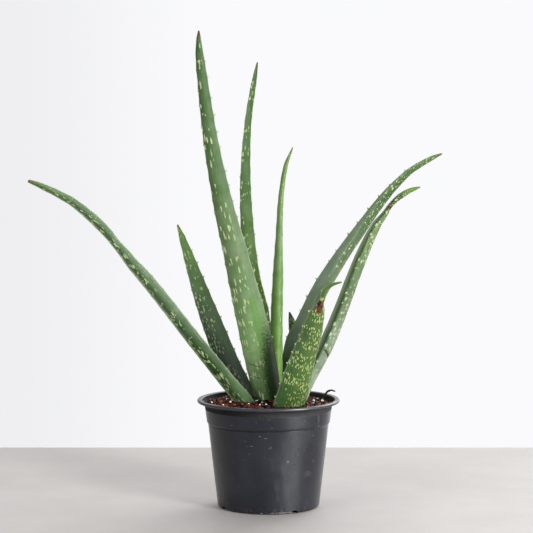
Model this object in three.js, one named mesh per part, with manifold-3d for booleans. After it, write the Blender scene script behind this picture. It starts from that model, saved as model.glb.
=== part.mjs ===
// Potted aloe vera: nine toothed leaves on a short buried stem, in a plastic nursery pot.
// Units are millimetres, +Z is up, and the origin is the centre of the pot's flat underside.
// The front of the plant looks along -Y.
import * as THREE from 'three';
import { mergeVertices } from 'three/addons/utils/BufferGeometryUtils.js';
import Module from 'manifold-3d';

const wasm = await Module();
wasm.setup();

// Pot
const rimRadius = 82.5; // widest point of the lip
const potHeight = 125;
const lipRound = 3.2; // radius of the lip's rolled edge
const lipDepth = 5; // inside, from the rim down to where the wall starts
const baseRadius = 59.2; // outside, just above the rounded foot
const footRound = 2.4;
const stepRadius = 69.8; // outside, under the band
const stepHeight = 98;
const stepRise = 0.7; // half the height of the sloped step
const bandBottomRadius = 71.3;
const bandTopRadius = 73.1;
const bandTopHeight = 112.5;
const flareLow = [1, 2.8]; // the wall's flare under the lip: outwards and up from the band's top
const flareHigh = [3.5, 5.4];
const potWall = 1.2;
const potFloor = 1.6;
const floorCorner = 3; // how far the inside corner of the floor is cut off
const potSides = 36;
const drainHalfWidth = 5.5; // of an arched drain opening at the foot
const drainReach = 9; // how far each one reaches in under the floor
const drainHeight = 2.9;
const drainSides = 16;
const drainAngles = [-60, 30, 120, 210]; // degrees from +X
// Soil
const gap = 0.3; // clearance between pieces that touch
const soilEdgeHeight = 117; // at the pot's wall
const soilEdgeRound = 0.8;
const soilMound = 3.8; // how much higher the middle is
const soilRings = 8;
const soilSides = 32;
const crumbRelief = 0.9; // height of the bark lumps at the surface
// Stem
const stemCentre = [4, 3];
const stemTopHeight = 105;
const stemTopRadius = 31;
const stemShoulder = 6; // height of its rounded edge
const stemWaistHeight = 81;
const stemWaistRadius = 22.3;
const stemBottomHeight = 62;
const stemBottomRadius = 11;
const stemSides = 20;
// Leaves
const marginHalfThickness = 0.55; // the blunt edge between the two faces
const thinnestBlade = 0.9;
const outerRoundness = 0.8; // 0.5 makes the outer face an ellipse, 1 a parabola
const outerSteps = 6; // segments across the convex outer face
const innerSteps = 4; // segments across the channelled inner face
const toothLength = 4.6; // root to point, of the largest teeth
const toothSunk = 1.4; // of that, inside the leaf
const toothRootLength = 1.9; // radius of its three-sided root along the margin
const toothRootThickness = 0.5; // and across it, inside the margin's blunt edge
const toothLean = 0.55; // how far a tooth leans towards the leaf's tip
const lowestTooth = 127; // no teeth below this height
const toothSpan = [0.06, 0.96]; // shares of the leaf's length between which they stand
const holeReach = 0.4; // share of the leaf that its hole in the soil is made from

// Each leaf's route has [x, y, z, width] from its root in the stem to its tip.
// turn is the angle, at the root and at the tip, from the front to the outer face.
// tipBack is how far the teeth of its two margins tip back, away from the outer face.
// toothScale is the size of its teeth beside the largest.
const leaves = [
  {
    name: 'leaf_front_tall',
    turn: [-20, -12],
    bulge: 0.26,
    thickness: 0.25,
    rings: 21,
    teeth: 20,
    toothScale: 1,
    tipBack: [2, 0],
    route: [
      [3, 1, 98, 28], [-1, 0, 119, 32.5], [-6.5, -4, 148, 36.5], [-13, -10, 181, 38.3], [-21, -18, 219, 36.8],
      [-30.5, -28, 260, 32.6], [-39, -39, 299, 28.5], [-48.3, -51, 337, 24.6], [-57, -63, 380, 20.4],
      [-64.8, -77, 425, 16.8], [-70.5, -90, 470, 13.4], [-75, -103, 512, 9.8], [-76.3, -109, 534, 5.8],
      [-76, -112, 545, 1.2],
    ],
  },
  {
    name: 'leaf_left_long',
    turn: [-35, -30],
    bulge: 0.3,
    thickness: 0.28,
    rings: 23,
    teeth: 18,
    toothScale: 0.62,
    tipBack: [2, 0],
    route: [
      [-17, -8, 101, 21], [-28.5, -7, 120, 24], [-44.8, -9, 140, 23.2], [-65.7, -13, 167, 22],
      [-87.3, -18, 195, 21], [-122.2, -28, 242, 19.8], [-141.5, -34, 267, 18.8], [-157, -40, 286, 16],
      [-164, -43, 296, 14.2], [-172, -46, 306, 12.2], [-180.5, -49, 317, 12.8], [-190, -52, 328, 13.8],
      [-206, -56, 343.2, 12.4], [-221, -60, 355.6, 11], [-239.5, -65, 366.4, 9.2], [-257, -69, 375.2, 7],
      [-268, -71, 379.8, 3.2],
    ],
  },
  {
    name: 'leaf_left_short',
    turn: [-150, -160],
    bulge: 0.27,
    thickness: 0.25,
    rings: 15,
    teeth: 12,
    toothScale: 0.8,
    tipBack: [0, 2],
    route: [
      [-21, 25, 99, 24], [-28, 29, 120, 27.5], [-48, 38, 158, 29], [-64, 52, 197, 26], [-78.3, 65, 234, 21.6],
      [-91, 78, 270, 15.2], [-97.5, 85, 289, 11.4], [-104.2, 91, 308, 6.8], [-109, 96, 321, 1.4],
    ],
  },
  {
    name: 'leaf_back_tall',
    turn: [140, 184],
    bulge: 0.3,
    thickness: 0.27,
    rings: 19,
    teeth: 18,
    toothScale: 0.5,
    tipBack: [0, 0],
    route: [
      [7, 40, 99, 19], [4, 48, 122, 24], [-2, 56, 170, 24], [-8, 64, 219, 23], [-14.6, 70, 245, 21.5],
      [-19.6, 77, 271, 19.2], [-25.3, 90, 327, 15.7], [-27.2, 104, 384, 11.9], [-24.6, 118, 441, 8.1],
      [-19.4, 128, 480, 6.3], [-16, 133, 500, 4.6], [-13.4, 137, 515.5, 1.2],
    ],
  },
  {
    name: 'leaf_centre_young',
    turn: [20, 20],
    bulge: 0.42,
    thickness: 0.42,
    rings: 16,
    teeth: 15,
    toothScale: 0.5,
    tipBack: [0, 2],
    route: [
      [8, 8, 98, 12], [9.8, 10, 124, 14.4], [10.4, 12, 170, 15], [10.5, 13, 215, 14.6], [11.9, 15, 265, 12.7],
      [13, 18, 312, 8.5], [14.4, 20, 350, 6.5], [17.3, 22, 377, 5.5], [21, 23, 396, 4.6], [28.2, 25, 415, 1],
    ],
  },
  {
    name: 'leaf_front_spotted',
    turn: [25, 18],
    bulge: 0.29,
    thickness: 0.28,
    rings: 25,
    teeth: 13,
    toothScale: 0.85,
    tipBack: [0, 2],
    route: [
      [19, -30, 99, 31], [24.5, -36, 118, 38], [30, -44, 138, 37.5], [35.3, -53, 160, 34], [43.6, -65, 190, 28.5],
      [48.2, -72, 205, 25.5], [51, -77, 217, 23.4], [55.2, -83, 234.5, 16.6], [57.8, -87, 243, 8.4],
      [59.7, -89, 249, 6.6], [62.5, -91, 257, 6.2], [66.5, -93, 263, 5], [71, -94, 266, 3.7], [81, -96, 269, 1.2],
    ],
  },
  {
    name: 'leaf_right_long',
    turn: [118, 84],
    bulge: 0.37,
    thickness: 0.31,
    rings: 20,
    teeth: 17,
    toothScale: 0.5,
    tipBack: [0, 0],
    route: [
      [14, 17, 98, 24.7], [20, 20, 120, 30.3], [26, 24, 144, 34.2], [33.2, 31, 184, 37.3], [45.1, 37, 209, 36.2],
      [62.6, 45, 246, 35.3], [85.3, 53, 282.4, 33.1], [111.3, 63, 319.5, 29.2], [139.5, 74, 356.6, 23.7],
      [165.4, 82, 382.9, 17.9], [180.6, 86, 393.3, 15.4], [195.2, 90, 401.1, 10.6], [207, 93, 406, 1.8],
    ],
  },
  {
    name: 'leaf_right_kinked',
    turn: [101, 96],
    bulge: 0.48,
    thickness: 0.32,
    rings: 26,
    teeth: 14,
    toothScale: 0.35,
    tipBack: [0, 0],
    route: [
      [33, 9, 99, 17], [38.5, 8, 122, 22], [48.3, 5, 148, 26], [68, -2, 187, 27.5], [85.3, -10, 231, 26],
      [98.4, -19, 269, 24.2], [110.7, -27, 301, 21.8], [122.6, -34, 327, 16.6], [132.6, -38, 342, 10],
      [137.6, -40, 350.5, 7.6], [144, -41, 357.2, 8.7], [150.2, -42, 362, 10], [157, -43, 366.4, 8.4],
      [164, -44, 369.5, 6.2], [171, -45, 372, 1.2],
    ],
  },
  {
    name: 'leaf_back_small',
    turn: [178, 184],
    bulge: 0.28,
    thickness: 0.28,
    rings: 9,
    teeth: 5,
    toothScale: 0.6,
    tipBack: [1, 1],
    route: [
      [37, 41, 101, 14], [38, 44, 123, 17], [35, 50, 150, 17], [32, 56, 180, 14], [30, 60, 198, 11],
      [27, 63, 210, 6.6], [25, 65, 219, 1.2],
    ],
  },
];

// A dry root that curls out of the soil behind the right side of the rim: [x, y, z].
const dryRootRoute = [
  [54, 22, 108], [59, 23, 119], [66, 23, 126], [68.6, 22.5, 129.4], [73, 21.5, 131.6], [78, 20.5, 130.4],
];
const dryRootRadius = 1.15;
const dryRootSides = 6;
const dryRootSteps = 14;

// A manifold solid from a three.js geometry whose surface is closed.
function solidFrom(geometry) {
  const bare = geometry.clone();
  bare.deleteAttribute('normal');
  bare.deleteAttribute('uv');
  const merged = mergeVertices(bare, 1e-4);
  const vertProperties = new Float32Array(merged.attributes.position.array);
  const triVerts = new Uint32Array(merged.index.array);
  return new wasm.Manifold(new wasm.Mesh({ numProp: 3, vertProperties, triVerts }));
}

// The three.js geometry of a manifold solid.
function geometryFrom(solid) {
  const mesh = solid.getMesh();
  const geometry = new THREE.BufferGeometry();
  geometry.setAttribute('position', new THREE.BufferAttribute(mesh.vertProperties, mesh.numProp));
  geometry.setIndex(new THREE.BufferAttribute(mesh.triVerts, 1));
  return geometry;
}

function material(hex, roughness, metalness = 0) {
  return new THREE.MeshStandardMaterial({ color: hex, roughness, metalness });
}

// A closed skin over rings of points that all have the same number of corners, with flat ends.
function skin(rings) {
  const corners = rings[0].length;
  const positions = rings.flat().flatMap((point) => point.toArray());
  const indices = [];
  for (let ring = 0; ring < rings.length - 1; ring += 1) {
    for (let corner = 0; corner < corners; corner += 1) {
      const next = (corner + 1) % corners;
      const low = ring * corners;
      const high = low + corners;
      indices.push(low + corner, low + next, high + next);
      indices.push(low + corner, high + next, high + corner);
    }
  }
  const last = (rings.length - 1) * corners;
  for (let corner = 1; corner < corners - 1; corner += 1) {
    indices.push(0, corner + 1, corner);
    indices.push(last, last + corner, last + corner + 1);
  }
  const geometry = new THREE.BufferGeometry();
  geometry.setAttribute('position', new THREE.Float32BufferAttribute(positions, 3));
  geometry.setIndex(indices);
  return geometry;
}

// A smooth curve through hand-set rows of numbers, timed by the distance between them.
function smoothRows(rows) {
  const knots = [0];
  for (let i = 1; i < rows.length; i += 1) {
    const step = Math.hypot(...[0, 1, 2].map((axis) => rows[i][axis] - rows[i - 1][axis]));
    knots.push(knots[i - 1] + step);
  }
  const slope = (i, column) => {
    const before = Math.max(i - 1, 0);
    const after = Math.min(i + 1, rows.length - 1);
    return (rows[after][column] - rows[before][column]) / (knots[after] - knots[before]);
  };
  const at = (distance) => {
    let i = 0;
    while (i < rows.length - 2 && knots[i + 1] < distance) i += 1;
    const span = knots[i + 1] - knots[i];
    const t = (distance - knots[i]) / span;
    return rows[i].map((value, column) => {
      const startPart = (1 + 2 * t) * (1 - t) ** 2 * value + t * (1 - t) ** 2 * span * slope(i, column);
      const endPart = t * t * (3 - 2 * t) * rows[i + 1][column] - t * t * (1 - t) * span * slope(i + 1, column);
      return startPart + endPart;
    });
  };
  return { at, length: knots[knots.length - 1] };
}

// The leaf's own directions at a distance along it: its middle, along, across and outwards.
function leafFrame(leaf, distance) {
  const curve = smoothRows(leaf.route);
  const here = curve.at(distance);
  const nudge = 0.5;
  const ahead = new THREE.Vector3(...curve.at(Math.min(distance + nudge, curve.length)));
  const behind = new THREE.Vector3(...curve.at(Math.max(distance - nudge, 0)));
  const along = ahead.sub(behind).normalize();
  const share = distance / curve.length;
  const turn = THREE.MathUtils.degToRad(THREE.MathUtils.lerp(leaf.turn[0], leaf.turn[1], share));
  const front = new THREE.Vector3(0, -1, 0);
  const outwards = front.addScaledVector(along, -front.dot(along)).normalize().applyAxisAngle(along, turn);
  const across = new THREE.Vector3().crossVectors(along, outwards).normalize();
  return { middle: new THREE.Vector3(here[0], here[1], here[2]), along, across, outwards, width: here[3] };
}

// How far the two margins lie behind the leaf's middle line.
function marginSetback(leaf, width) {
  return (leaf.bulge * width) / 2;
}

// Height of the two faces over the leaf's middle line, u running from -1 to 1 across.
function outerFace(leaf, width, u) {
  const dome = leaf.bulge * width * Math.max(1 - u * u, 0) ** outerRoundness;
  return marginHalfThickness - marginSetback(leaf, width) + dome;
}

function innerFace(leaf, width, u) {
  const blade = Math.max(leaf.thickness * width, thinnestBlade);
  const channel = leaf.bulge * width + 2 * marginHalfThickness - blade;
  return -marginHalfThickness - marginSetback(leaf, width) + channel * (1 - u * u);
}

// One closed outline across the leaf, counted round from one margin. grow is a clearance.
function leafRing(leaf, distance, grow) {
  const frame = leafFrame(leaf, distance);
  const half = frame.width / 2 + grow;
  const ring = [];
  const place = (u, height) => {
    const point = frame.middle.clone().addScaledVector(frame.across, u * half);
    ring.push(point.addScaledVector(frame.outwards, height));
  };
  for (let i = 0; i <= outerSteps; i += 1) {
    const u = Math.sin((Math.PI / 2) * ((2 * i) / outerSteps - 1));
    place(u, outerFace(leaf, frame.width, u) + grow);
  }
  for (let i = 0; i <= innerSteps; i += 1) {
    const u = Math.sin((Math.PI / 2) * (1 - (2 * i) / innerSteps));
    place(u, innerFace(leaf, frame.width, u) - grow);
  }
  return ring;
}

// The blade alone, or only its lowest part when a hole for it is wanted.
function leafBlade(leaf, grow = 0, reach = 1) {
  const { length } = smoothRows(leaf.route);
  const rings = [];
  for (let i = 0; i < leaf.rings; i += 1) {
    const share = i / (leaf.rings - 1);
    if (share <= reach) rings.push(leafRing(leaf, share * length, grow));
  }
  if (grow > 0) {
    const { along } = leafFrame(leaf, 0);
    rings[0] = rings[0].map((point) => point.clone().addScaledVector(along, -grow));
  }
  return solidFrom(skin(rings));
}

// A small flattened three-sided tooth with its root inside the margin, leaning towards the tip.
function tooth(leaf, distance, side) {
  const frame = leafFrame(leaf, distance);
  const size = THREE.MathUtils.clamp(frame.width / 14, 0.6, 1) * leaf.toothScale;
  const pointing = frame.across.clone().multiplyScalar(side);
  pointing.addScaledVector(frame.along, toothLean);
  pointing.addScaledVector(frame.outwards, -leaf.tipBack[side < 0 ? 0 : 1]).normalize();
  const geometry = new THREE.ConeGeometry(1, toothLength * size, 3);
  geometry.scale(toothRootLength * size, 1, toothRootThickness);
  geometry.translate(0, (toothLength / 2 - toothSunk) * size, 0);
  const flat = frame.outwards.clone().addScaledVector(pointing, -frame.outwards.dot(pointing)).normalize();
  const sideways = new THREE.Vector3().crossVectors(pointing, flat);
  geometry.applyMatrix4(new THREE.Matrix4().makeBasis(sideways, pointing, flat));
  const foot = frame.middle.clone().addScaledVector(frame.across, (side * frame.width) / 2);
  foot.addScaledVector(frame.outwards, -marginSetback(leaf, frame.width));
  geometry.translate(foot.x, foot.y, foot.z);
  return solidFrom(geometry);
}

function leafSolid(leaf) {
  let solid = leafBlade(leaf);
  const { length, at } = smoothRows(leaf.route);
  for (const side of [-1, 1]) {
    for (let i = 0; i < leaf.teeth; i += 1) {
      const offset = side > 0 ? 0.3 : 0.7;
      const share = THREE.MathUtils.lerp(...toothSpan, (i + offset) / leaf.teeth);
      const distance = length * share;
      if (at(distance)[2] > lowestTooth) solid = solid.add(tooth(leaf, distance, side));
    }
  }
  return solid;
}

// Points of an arc in the pot's profile, from one angle to another, in degrees.
function arc(centreRadius, centreHeight, radius, from, to, steps) {
  return Array.from({ length: steps + 1 }, (_, i) => {
    const angle = THREE.MathUtils.degToRad(from + ((to - from) * i) / steps);
    const x = centreRadius + radius * Math.cos(angle);
    return new THREE.Vector2(x, centreHeight + radius * Math.sin(angle));
  });
}

// Inside radius of the pot at a height, under the lip's flare.
function potInsideRadius(height) {
  const { mapLinear } = THREE.MathUtils;
  if (height < stepHeight) return mapLinear(height, 0, stepHeight, baseRadius, stepRadius) - potWall;
  return mapLinear(height, stepHeight, bandTopHeight, bandBottomRadius, bandTopRadius) - potWall;
}

// A point on the pot's inside wall, or the same point moved in by the clearance for the soil.
function insidePoint(height, clearance = 0) {
  return new THREE.Vector2(potInsideRadius(height) - clearance, height);
}

// A lathe turns around Y, so its result is stood up along Z.
function lathe(profile, sides) {
  return new THREE.LatheGeometry(profile, sides).rotateX(Math.PI / 2);
}

function potSolid() {
  const lipRadius = rimRadius - lipRound;
  const lipHeight = potHeight - lipRound;
  const profile = [
    new THREE.Vector2(0, 0),
    ...arc(baseRadius - footRound, footRound, footRound, -90, -5, 3),
    new THREE.Vector2(stepRadius, stepHeight - stepRise),
    new THREE.Vector2(bandBottomRadius, stepHeight + stepRise),
    new THREE.Vector2(bandTopRadius, bandTopHeight),
    new THREE.Vector2(bandTopRadius + flareLow[0], bandTopHeight + flareLow[1]),
    new THREE.Vector2(bandTopRadius + flareHigh[0], bandTopHeight + flareHigh[1]),
    ...arc(lipRadius, lipHeight, lipRound, -70, 130, 7),
    new THREE.Vector2(bandTopRadius + flareLow[0], potHeight - lipDepth),
    insidePoint(bandTopHeight + flareLow[0]),
    insidePoint(stepHeight + stepRise),
    insidePoint(stepHeight - stepRise),
    insidePoint(potFloor + floorCorner),
    new THREE.Vector2(potInsideRadius(potFloor) - floorCorner, potFloor),
    new THREE.Vector2(0, potFloor),
  ];
  let solid = solidFrom(lathe(profile, potSides));
  for (const degrees of drainAngles) {
    const angle = THREE.MathUtils.degToRad(degrees);
    const cutter = new THREE.CylinderGeometry(drainHalfWidth, drainHalfWidth, 2 * drainReach, drainSides);
    cutter.scale(1, 1, drainHeight / drainHalfWidth);
    cutter.rotateZ(Math.PI / 2).rotateZ(angle);
    cutter.translate(baseRadius * Math.cos(angle), baseRadius * Math.sin(angle), 0);
    solid = solid.subtract(solidFrom(cutter));
  }
  return solid;
}

// Waves that never line up: radians per millimetre along X and along Y, and a start.
const crumbWaves = [
  [[0.61, 0, 1.3], [0, 0.57, -0.4]],
  [[0.29, 0.83, 0], [0.77, -0.35, 2.1]],
];

// Lumps of bark at the soil's surface.
function crumbHeight(x, y) {
  const wave = ([alongX, alongY, start]) => Math.sin(x * alongX + y * alongY + start);
  const [coarse, fine] = crumbWaves.map(([one, other]) => wave(one) * wave(other));
  return (crumbRelief * (coarse + fine)) / 2;
}

function soilSolid(leafHoles) {
  const topRadius = potInsideRadius(soilEdgeHeight) - gap - soilEdgeRound;
  const profile = [
    new THREE.Vector2(0, potFloor + gap),
    new THREE.Vector2(potInsideRadius(potFloor) - floorCorner - gap, potFloor + gap),
    insidePoint(potFloor + floorCorner + gap, gap),
    insidePoint(stepHeight - stepRise, gap),
    insidePoint(stepHeight + stepRise + gap, gap),
    insidePoint(soilEdgeHeight - 2 * soilEdgeRound, gap),
  ];
  for (let i = 0; i <= soilRings; i += 1) {
    const share = 1 - i / soilRings;
    profile.push(new THREE.Vector2(topRadius * share, soilEdgeHeight + soilMound * (1 - share ** 2)));
  }
  const geometry = lathe(profile, soilSides);
  const { position } = geometry.attributes;
  for (let i = 0; i < position.count; i += 1) {
    const [x, y, height] = new THREE.Vector3().fromBufferAttribute(position, i).toArray();
    const isSurface = height > soilEdgeHeight - soilEdgeRound && Math.hypot(x, y) > 1;
    if (isSurface) position.setZ(i, height + crumbHeight(x, y));
  }
  const solid = solidFrom(geometry).subtract(stemBlank(gap)).subtract(dryRootSolid(gap));
  return leafHoles.reduce((left, hole) => left.subtract(hole), solid);
}

// The short thick stem before the leaves' roots are let into it.
function stemBlank(grow) {
  const edgeRadius = stemTopRadius - stemShoulder / 2;
  const edgeHeight = stemTopHeight - stemShoulder / 3;
  const profile = [
    new THREE.Vector2(0, stemBottomHeight - grow),
    new THREE.Vector2(stemBottomRadius + grow, stemBottomHeight - grow),
    new THREE.Vector2(stemWaistRadius + grow, stemWaistHeight),
    new THREE.Vector2(stemTopRadius + grow, stemTopHeight - stemShoulder),
    new THREE.Vector2(edgeRadius + grow, edgeHeight + grow),
    new THREE.Vector2(0, stemTopHeight + grow),
  ];
  const geometry = lathe(profile, stemSides);
  geometry.translate(stemCentre[0], stemCentre[1], 0);
  return solidFrom(geometry);
}

function stemSolid(leafHoles) {
  return leafHoles.reduce((solid, hole) => solid.subtract(hole), stemBlank(0));
}

function dryRootSolid(grow) {
  const points = dryRootRoute.map((point) => new THREE.Vector3(...point));
  points[0].z -= 2 * grow;
  const path = new THREE.CatmullRomCurve3(points);
  const outline = new THREE.Shape();
  for (let i = 0; i < dryRootSides; i += 1) {
    const angle = (2 * Math.PI * i) / dryRootSides;
    const x = (dryRootRadius + grow) * Math.cos(angle);
    const y = (dryRootRadius + grow) * Math.sin(angle);
    if (i === 0) outline.moveTo(x, y);
    else outline.lineTo(x, y);
  }
  outline.closePath();
  return solidFrom(new THREE.ExtrudeGeometry(outline, { steps: dryRootSteps, extrudePath: path }));
}

function named(name, geometry, look) {
  const mesh = new THREE.Mesh(geometry, look);
  mesh.name = name;
  return mesh;
}

const leafLook = {
  leaf_centre_young: material(0x74a455, 0.45),
  leaf_front_spotted: material(0x5b8a3f, 0.45),
};
const plainLeafLook = material(0x5f8d5c, 0.45);

const aloe = new THREE.Group();
aloe.name = 'potted_aloe_vera';
const leafHoles = leaves.map((leaf) => leafBlade(leaf, gap, holeReach));
aloe.add(named('pot', geometryFrom(potSolid()), material(0x2b2c30, 0.42)));
aloe.add(named('soil', geometryFrom(soilSolid(leafHoles)), material(0x4a2517, 0.95)));
aloe.add(named('stem', geometryFrom(stemSolid(leafHoles)), material(0x8a7a55, 0.8)));
aloe.add(named('dry_root', geometryFrom(dryRootSolid(0)), material(0x3a1f18, 0.8)));
const plant = new THREE.Group();
leaves.forEach((leaf) => {
  plant.add(named(leaf.name, geometryFrom(leafSolid(leaf)), leafLook[leaf.name] ?? plainLeafLook));
});
aloe.add(plant);

export default aloe;
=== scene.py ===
import math

import bmesh
import bpy
import numpy as np
from mathutils import Matrix, Vector


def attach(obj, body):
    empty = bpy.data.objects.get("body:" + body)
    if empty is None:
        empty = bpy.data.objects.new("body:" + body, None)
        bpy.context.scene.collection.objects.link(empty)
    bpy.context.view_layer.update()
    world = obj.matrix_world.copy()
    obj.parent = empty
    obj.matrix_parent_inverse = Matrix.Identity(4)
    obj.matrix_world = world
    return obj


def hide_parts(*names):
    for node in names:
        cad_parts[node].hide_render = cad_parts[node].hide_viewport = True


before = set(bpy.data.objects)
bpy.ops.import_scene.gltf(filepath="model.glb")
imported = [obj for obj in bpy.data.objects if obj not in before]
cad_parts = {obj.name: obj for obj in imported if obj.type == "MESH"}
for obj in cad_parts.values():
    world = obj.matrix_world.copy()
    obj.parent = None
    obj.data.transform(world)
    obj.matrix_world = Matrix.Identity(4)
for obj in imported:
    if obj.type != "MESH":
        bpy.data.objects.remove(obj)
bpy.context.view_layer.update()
scene = bpy.context.scene
mm = 0.001  # sizes below are in millimetres unless a note says otherwise
print("frame loaded:", ", ".join(sorted(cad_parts)))

# Small helpers for meshes


def srgb(red, green, blue):
    shares = [c / 255 for c in (red, green, blue)]
    linear = [c / 12.92 if c <= 10 / 255 else ((c + 0.055) / 1.055) ** 2.4 for c in shares]
    return (*linear, 1.0)


def curveAt(rows, distances):
    # smooth curve through rows of numbers, timed by the distance between their first three columns
    rows = np.asarray(rows, float)
    knots = np.concatenate([[0], np.cumsum(np.linalg.norm(np.diff(rows[:, :3], axis=0), axis=1))])
    last = len(rows) - 1
    before, after = np.maximum(np.arange(last + 1) - 1, 0), np.minimum(np.arange(last + 1) + 1, last)
    slopes = (rows[after] - rows[before]) / (knots[after] - knots[before])[:, None]
    index = np.clip(np.searchsorted(knots, distances, side="left") - 1, 0, last - 1)
    span = (knots[index + 1] - knots[index])[:, None]
    t = (np.asarray(distances)[:, None] - knots[index][:, None]) / span
    start = (1 + 2 * t) * (1 - t) ** 2 * rows[index] + t * (1 - t) ** 2 * span * slopes[index]
    end = t * t * (3 - 2 * t) * rows[index + 1] - t * t * (1 - t) * span * slopes[index + 1]
    return start + end, knots[-1]


def routeLength(rows):
    return curveAt(rows, np.array([0.0]))[1]


def unit(rows):
    return rows / np.linalg.norm(rows, axis=1)[:, None]


def waves(seed, x, y, longest, count=7):
    # smooth unevenness between about -1 and 1: a sum of seeded sine waves, the longest first
    rng = np.random.default_rng(seed)
    total = 0
    for i in range(count):
        length = longest * 0.72**i
        angle, phase = rng.uniform(0, 2 * math.pi, 2)
        ahead = x * math.cos(angle) + y * math.sin(angle)
        total = total + 0.8**i * np.sin(2 * math.pi * ahead / length + phase)
    return total / 2.2


def meshFrom(name, points, faces, smooth=True):
    mesh = bpy.data.meshes.new(name)
    mesh.from_pydata([tuple(p) for p in points], [], faces)
    mesh.validate()
    if smooth:
        mesh.shade_smooth()
    mesh.update()
    return mesh


def newObject(name, data):
    thing = bpy.data.objects.new(name, data)
    scene.collection.objects.link(thing)
    return thing


def meshOf(name, builder):
    mesh = bpy.data.meshes.new(name)
    builder.to_mesh(mesh)
    builder.free()
    return mesh


def pieceFrom(name, mesh, material, nodes):
    piece = newObject(name, mesh)
    mesh.materials.append(material)
    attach(piece, "root")
    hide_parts(*nodes)


def tubeFaces(rings, corners):
    # faces of a closed tube whose points are stored ring by ring, with the two end points last
    faces = []
    for low in range(0, (rings - 1) * corners, corners):
        for i in range(corners):
            j = (i + 1) % corners
            faces.append((low + i, low + j, low + corners + j, low + corners + i))
    first = rings * corners
    start = first - corners
    for i in range(corners):
        j = (i + 1) % corners
        faces += [(first, j, i), (first + 1, start + i, start + j)]
    return faces


def keepNumbers(mesh, name, kind, values):
    layer = mesh.attributes.new(name, kind, "POINT")
    field = "vector" if kind == "FLOAT_VECTOR" else "value"
    layer.data.foreach_set(field, np.asarray(values, np.float32).ravel())


def plainMesh(piece):
    # the piece's mesh as its modifiers leave it
    depsgraph = bpy.context.evaluated_depsgraph_get()
    depsgraph.update()
    final = piece.evaluated_get(depsgraph)
    return bpy.data.meshes.new_from_object(final, preserve_all_data_layers=True, depsgraph=depsgraph)


def settle(piece, tree, inputs):
    # runs a geometry node tree on a piece, and keeps its result as the piece's plain mesh
    modifier = piece.modifiers.new("build", "NODES")
    modifier.node_group = tree
    for item in tree.interface.items_tree:
        if item.item_type == "SOCKET" and item.in_out == "INPUT" and item.name in inputs:
            modifier[item.identifier] = inputs[item.name]
    result = plainMesh(piece)
    piece.modifiers.remove(modifier)
    piece.data = result


# Small helpers for node trees


def feed(node, key, value):
    # a socket is linked to the node's input, and anything else becomes the input's own value
    if isinstance(value, bpy.types.NodeSocket):
        node.id_data.links.new(value, node.inputs[key])
    else:
        node.inputs[key].default_value = value


def addNode(tree, kind, inputs=None, **fields):
    node = tree.nodes.new(kind)
    for name, value in fields.items():
        setattr(node, name, value)
    for key, value in (inputs or {}).items():
        feed(node, key, value)
    return node


def nodeAfter(kind, inputs, **fields):
    # a node in the tree of the sockets that feed it
    tree = next(value.id_data for value in inputs.values() if isinstance(value, bpy.types.NodeSocket))
    return addNode(tree, kind, inputs, **fields)


def calc(operation, first, second=0.0, third=0.0, clamp=False):
    inputs = {0: first, 1: second, 2: third}
    return nodeAfter("ShaderNodeMath", inputs, operation=operation, use_clamp=clamp).outputs[0]


def plus(first, second):
    return calc("ADD", first, second)


def less(first, second):
    return calc("SUBTRACT", first, second)


def times(first, second):
    return calc("MULTIPLY", first, second)


def divided(first, second):
    return calc("DIVIDE", first, second)


def timesPlus(first, second, third, clamp=False):
    return calc("MULTIPLY_ADD", first, second, third, clamp)


def calcVector(operation, first, second):
    return nodeAfter("ShaderNodeVectorMath", {0: first, 1: second}, operation=operation).outputs[0]


def joined(x, y=0.0, z=0.0):
    return nodeAfter("ShaderNodeCombineXYZ", {0: x, 1: y, 2: z}).outputs[0]


def split(vector):
    return nodeAfter("ShaderNodeSeparateXYZ", {0: vector}).outputs


def splitColour(colour):
    return nodeAfter("ShaderNodeSeparateColor", {0: colour}).outputs


def rise(value, low, high, bottom=0.0, top=1.0):
    inputs = {"Value": value, "From Min": low, "From Max": high, "To Min": bottom, "To Max": top}
    return nodeAfter("ShaderNodeMapRange", inputs, interpolation_type="SMOOTHSTEP").outputs["Result"]


def mixColour(mask, under, over, blend="MIX"):
    inputs = {0: mask, 6: under, 7: over}
    node = nodeAfter("ShaderNodeMix", inputs, data_type="RGBA", blend_type=blend, clamp_factor=True)
    return node.outputs[2]


def ramp(value, stops):
    node = nodeAfter("ShaderNodeValToRGB", {"Fac": value})
    elements = node.color_ramp.elements
    while len(elements) < len(stops):
        elements.new(0.5)
    for element, (position, colour) in zip(elements, stops):
        element.position = position
        element.color = colour
    return node.outputs["Color"]


def noise(vector, scale, detail=3.0, roughness=0.55, dimensions="3D"):
    inputs = {"Vector": vector, "Scale": scale, "Detail": detail, "Roughness": roughness}
    return nodeAfter("ShaderNodeTexNoise", inputs, noise_dimensions=dimensions).outputs["Fac"]


def ovalDistance(across, along, halfWide, halfLong):
    # 1 on the edge of an oval, from offsets in metres and half sizes in millimetres
    across, along = divided(across, halfWide * mm), divided(along, halfLong * mm)
    return calc("SQRT", timesPlus(across, across, times(along, along)))


def attribute(tree, name, output="Fac"):
    return addNode(tree, "ShaderNodeAttribute", attribute_name=name).outputs[output]


def objectPlace(tree):
    return addNode(tree, "ShaderNodeTexCoord").outputs["Object"]


def stored(tree, name, kind="FLOAT"):
    node = addNode(tree, "GeometryNodeInputNamedAttribute", {"Name": name}, data_type=kind)
    return node.outputs["Attribute"]


def storedOn(geometry, name, value, domain):
    inputs = {"Geometry": geometry, "Name": name, "Value": value}
    node = nodeAfter("GeometryNodeStoreNamedAttribute", inputs, data_type="FLOAT", domain=domain)
    return node.outputs["Geometry"]


def moved(geometry, offset):
    return nodeAfter("GeometryNodeSetPosition", {"Geometry": geometry, "Offset": offset}).outputs["Geometry"]


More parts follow.
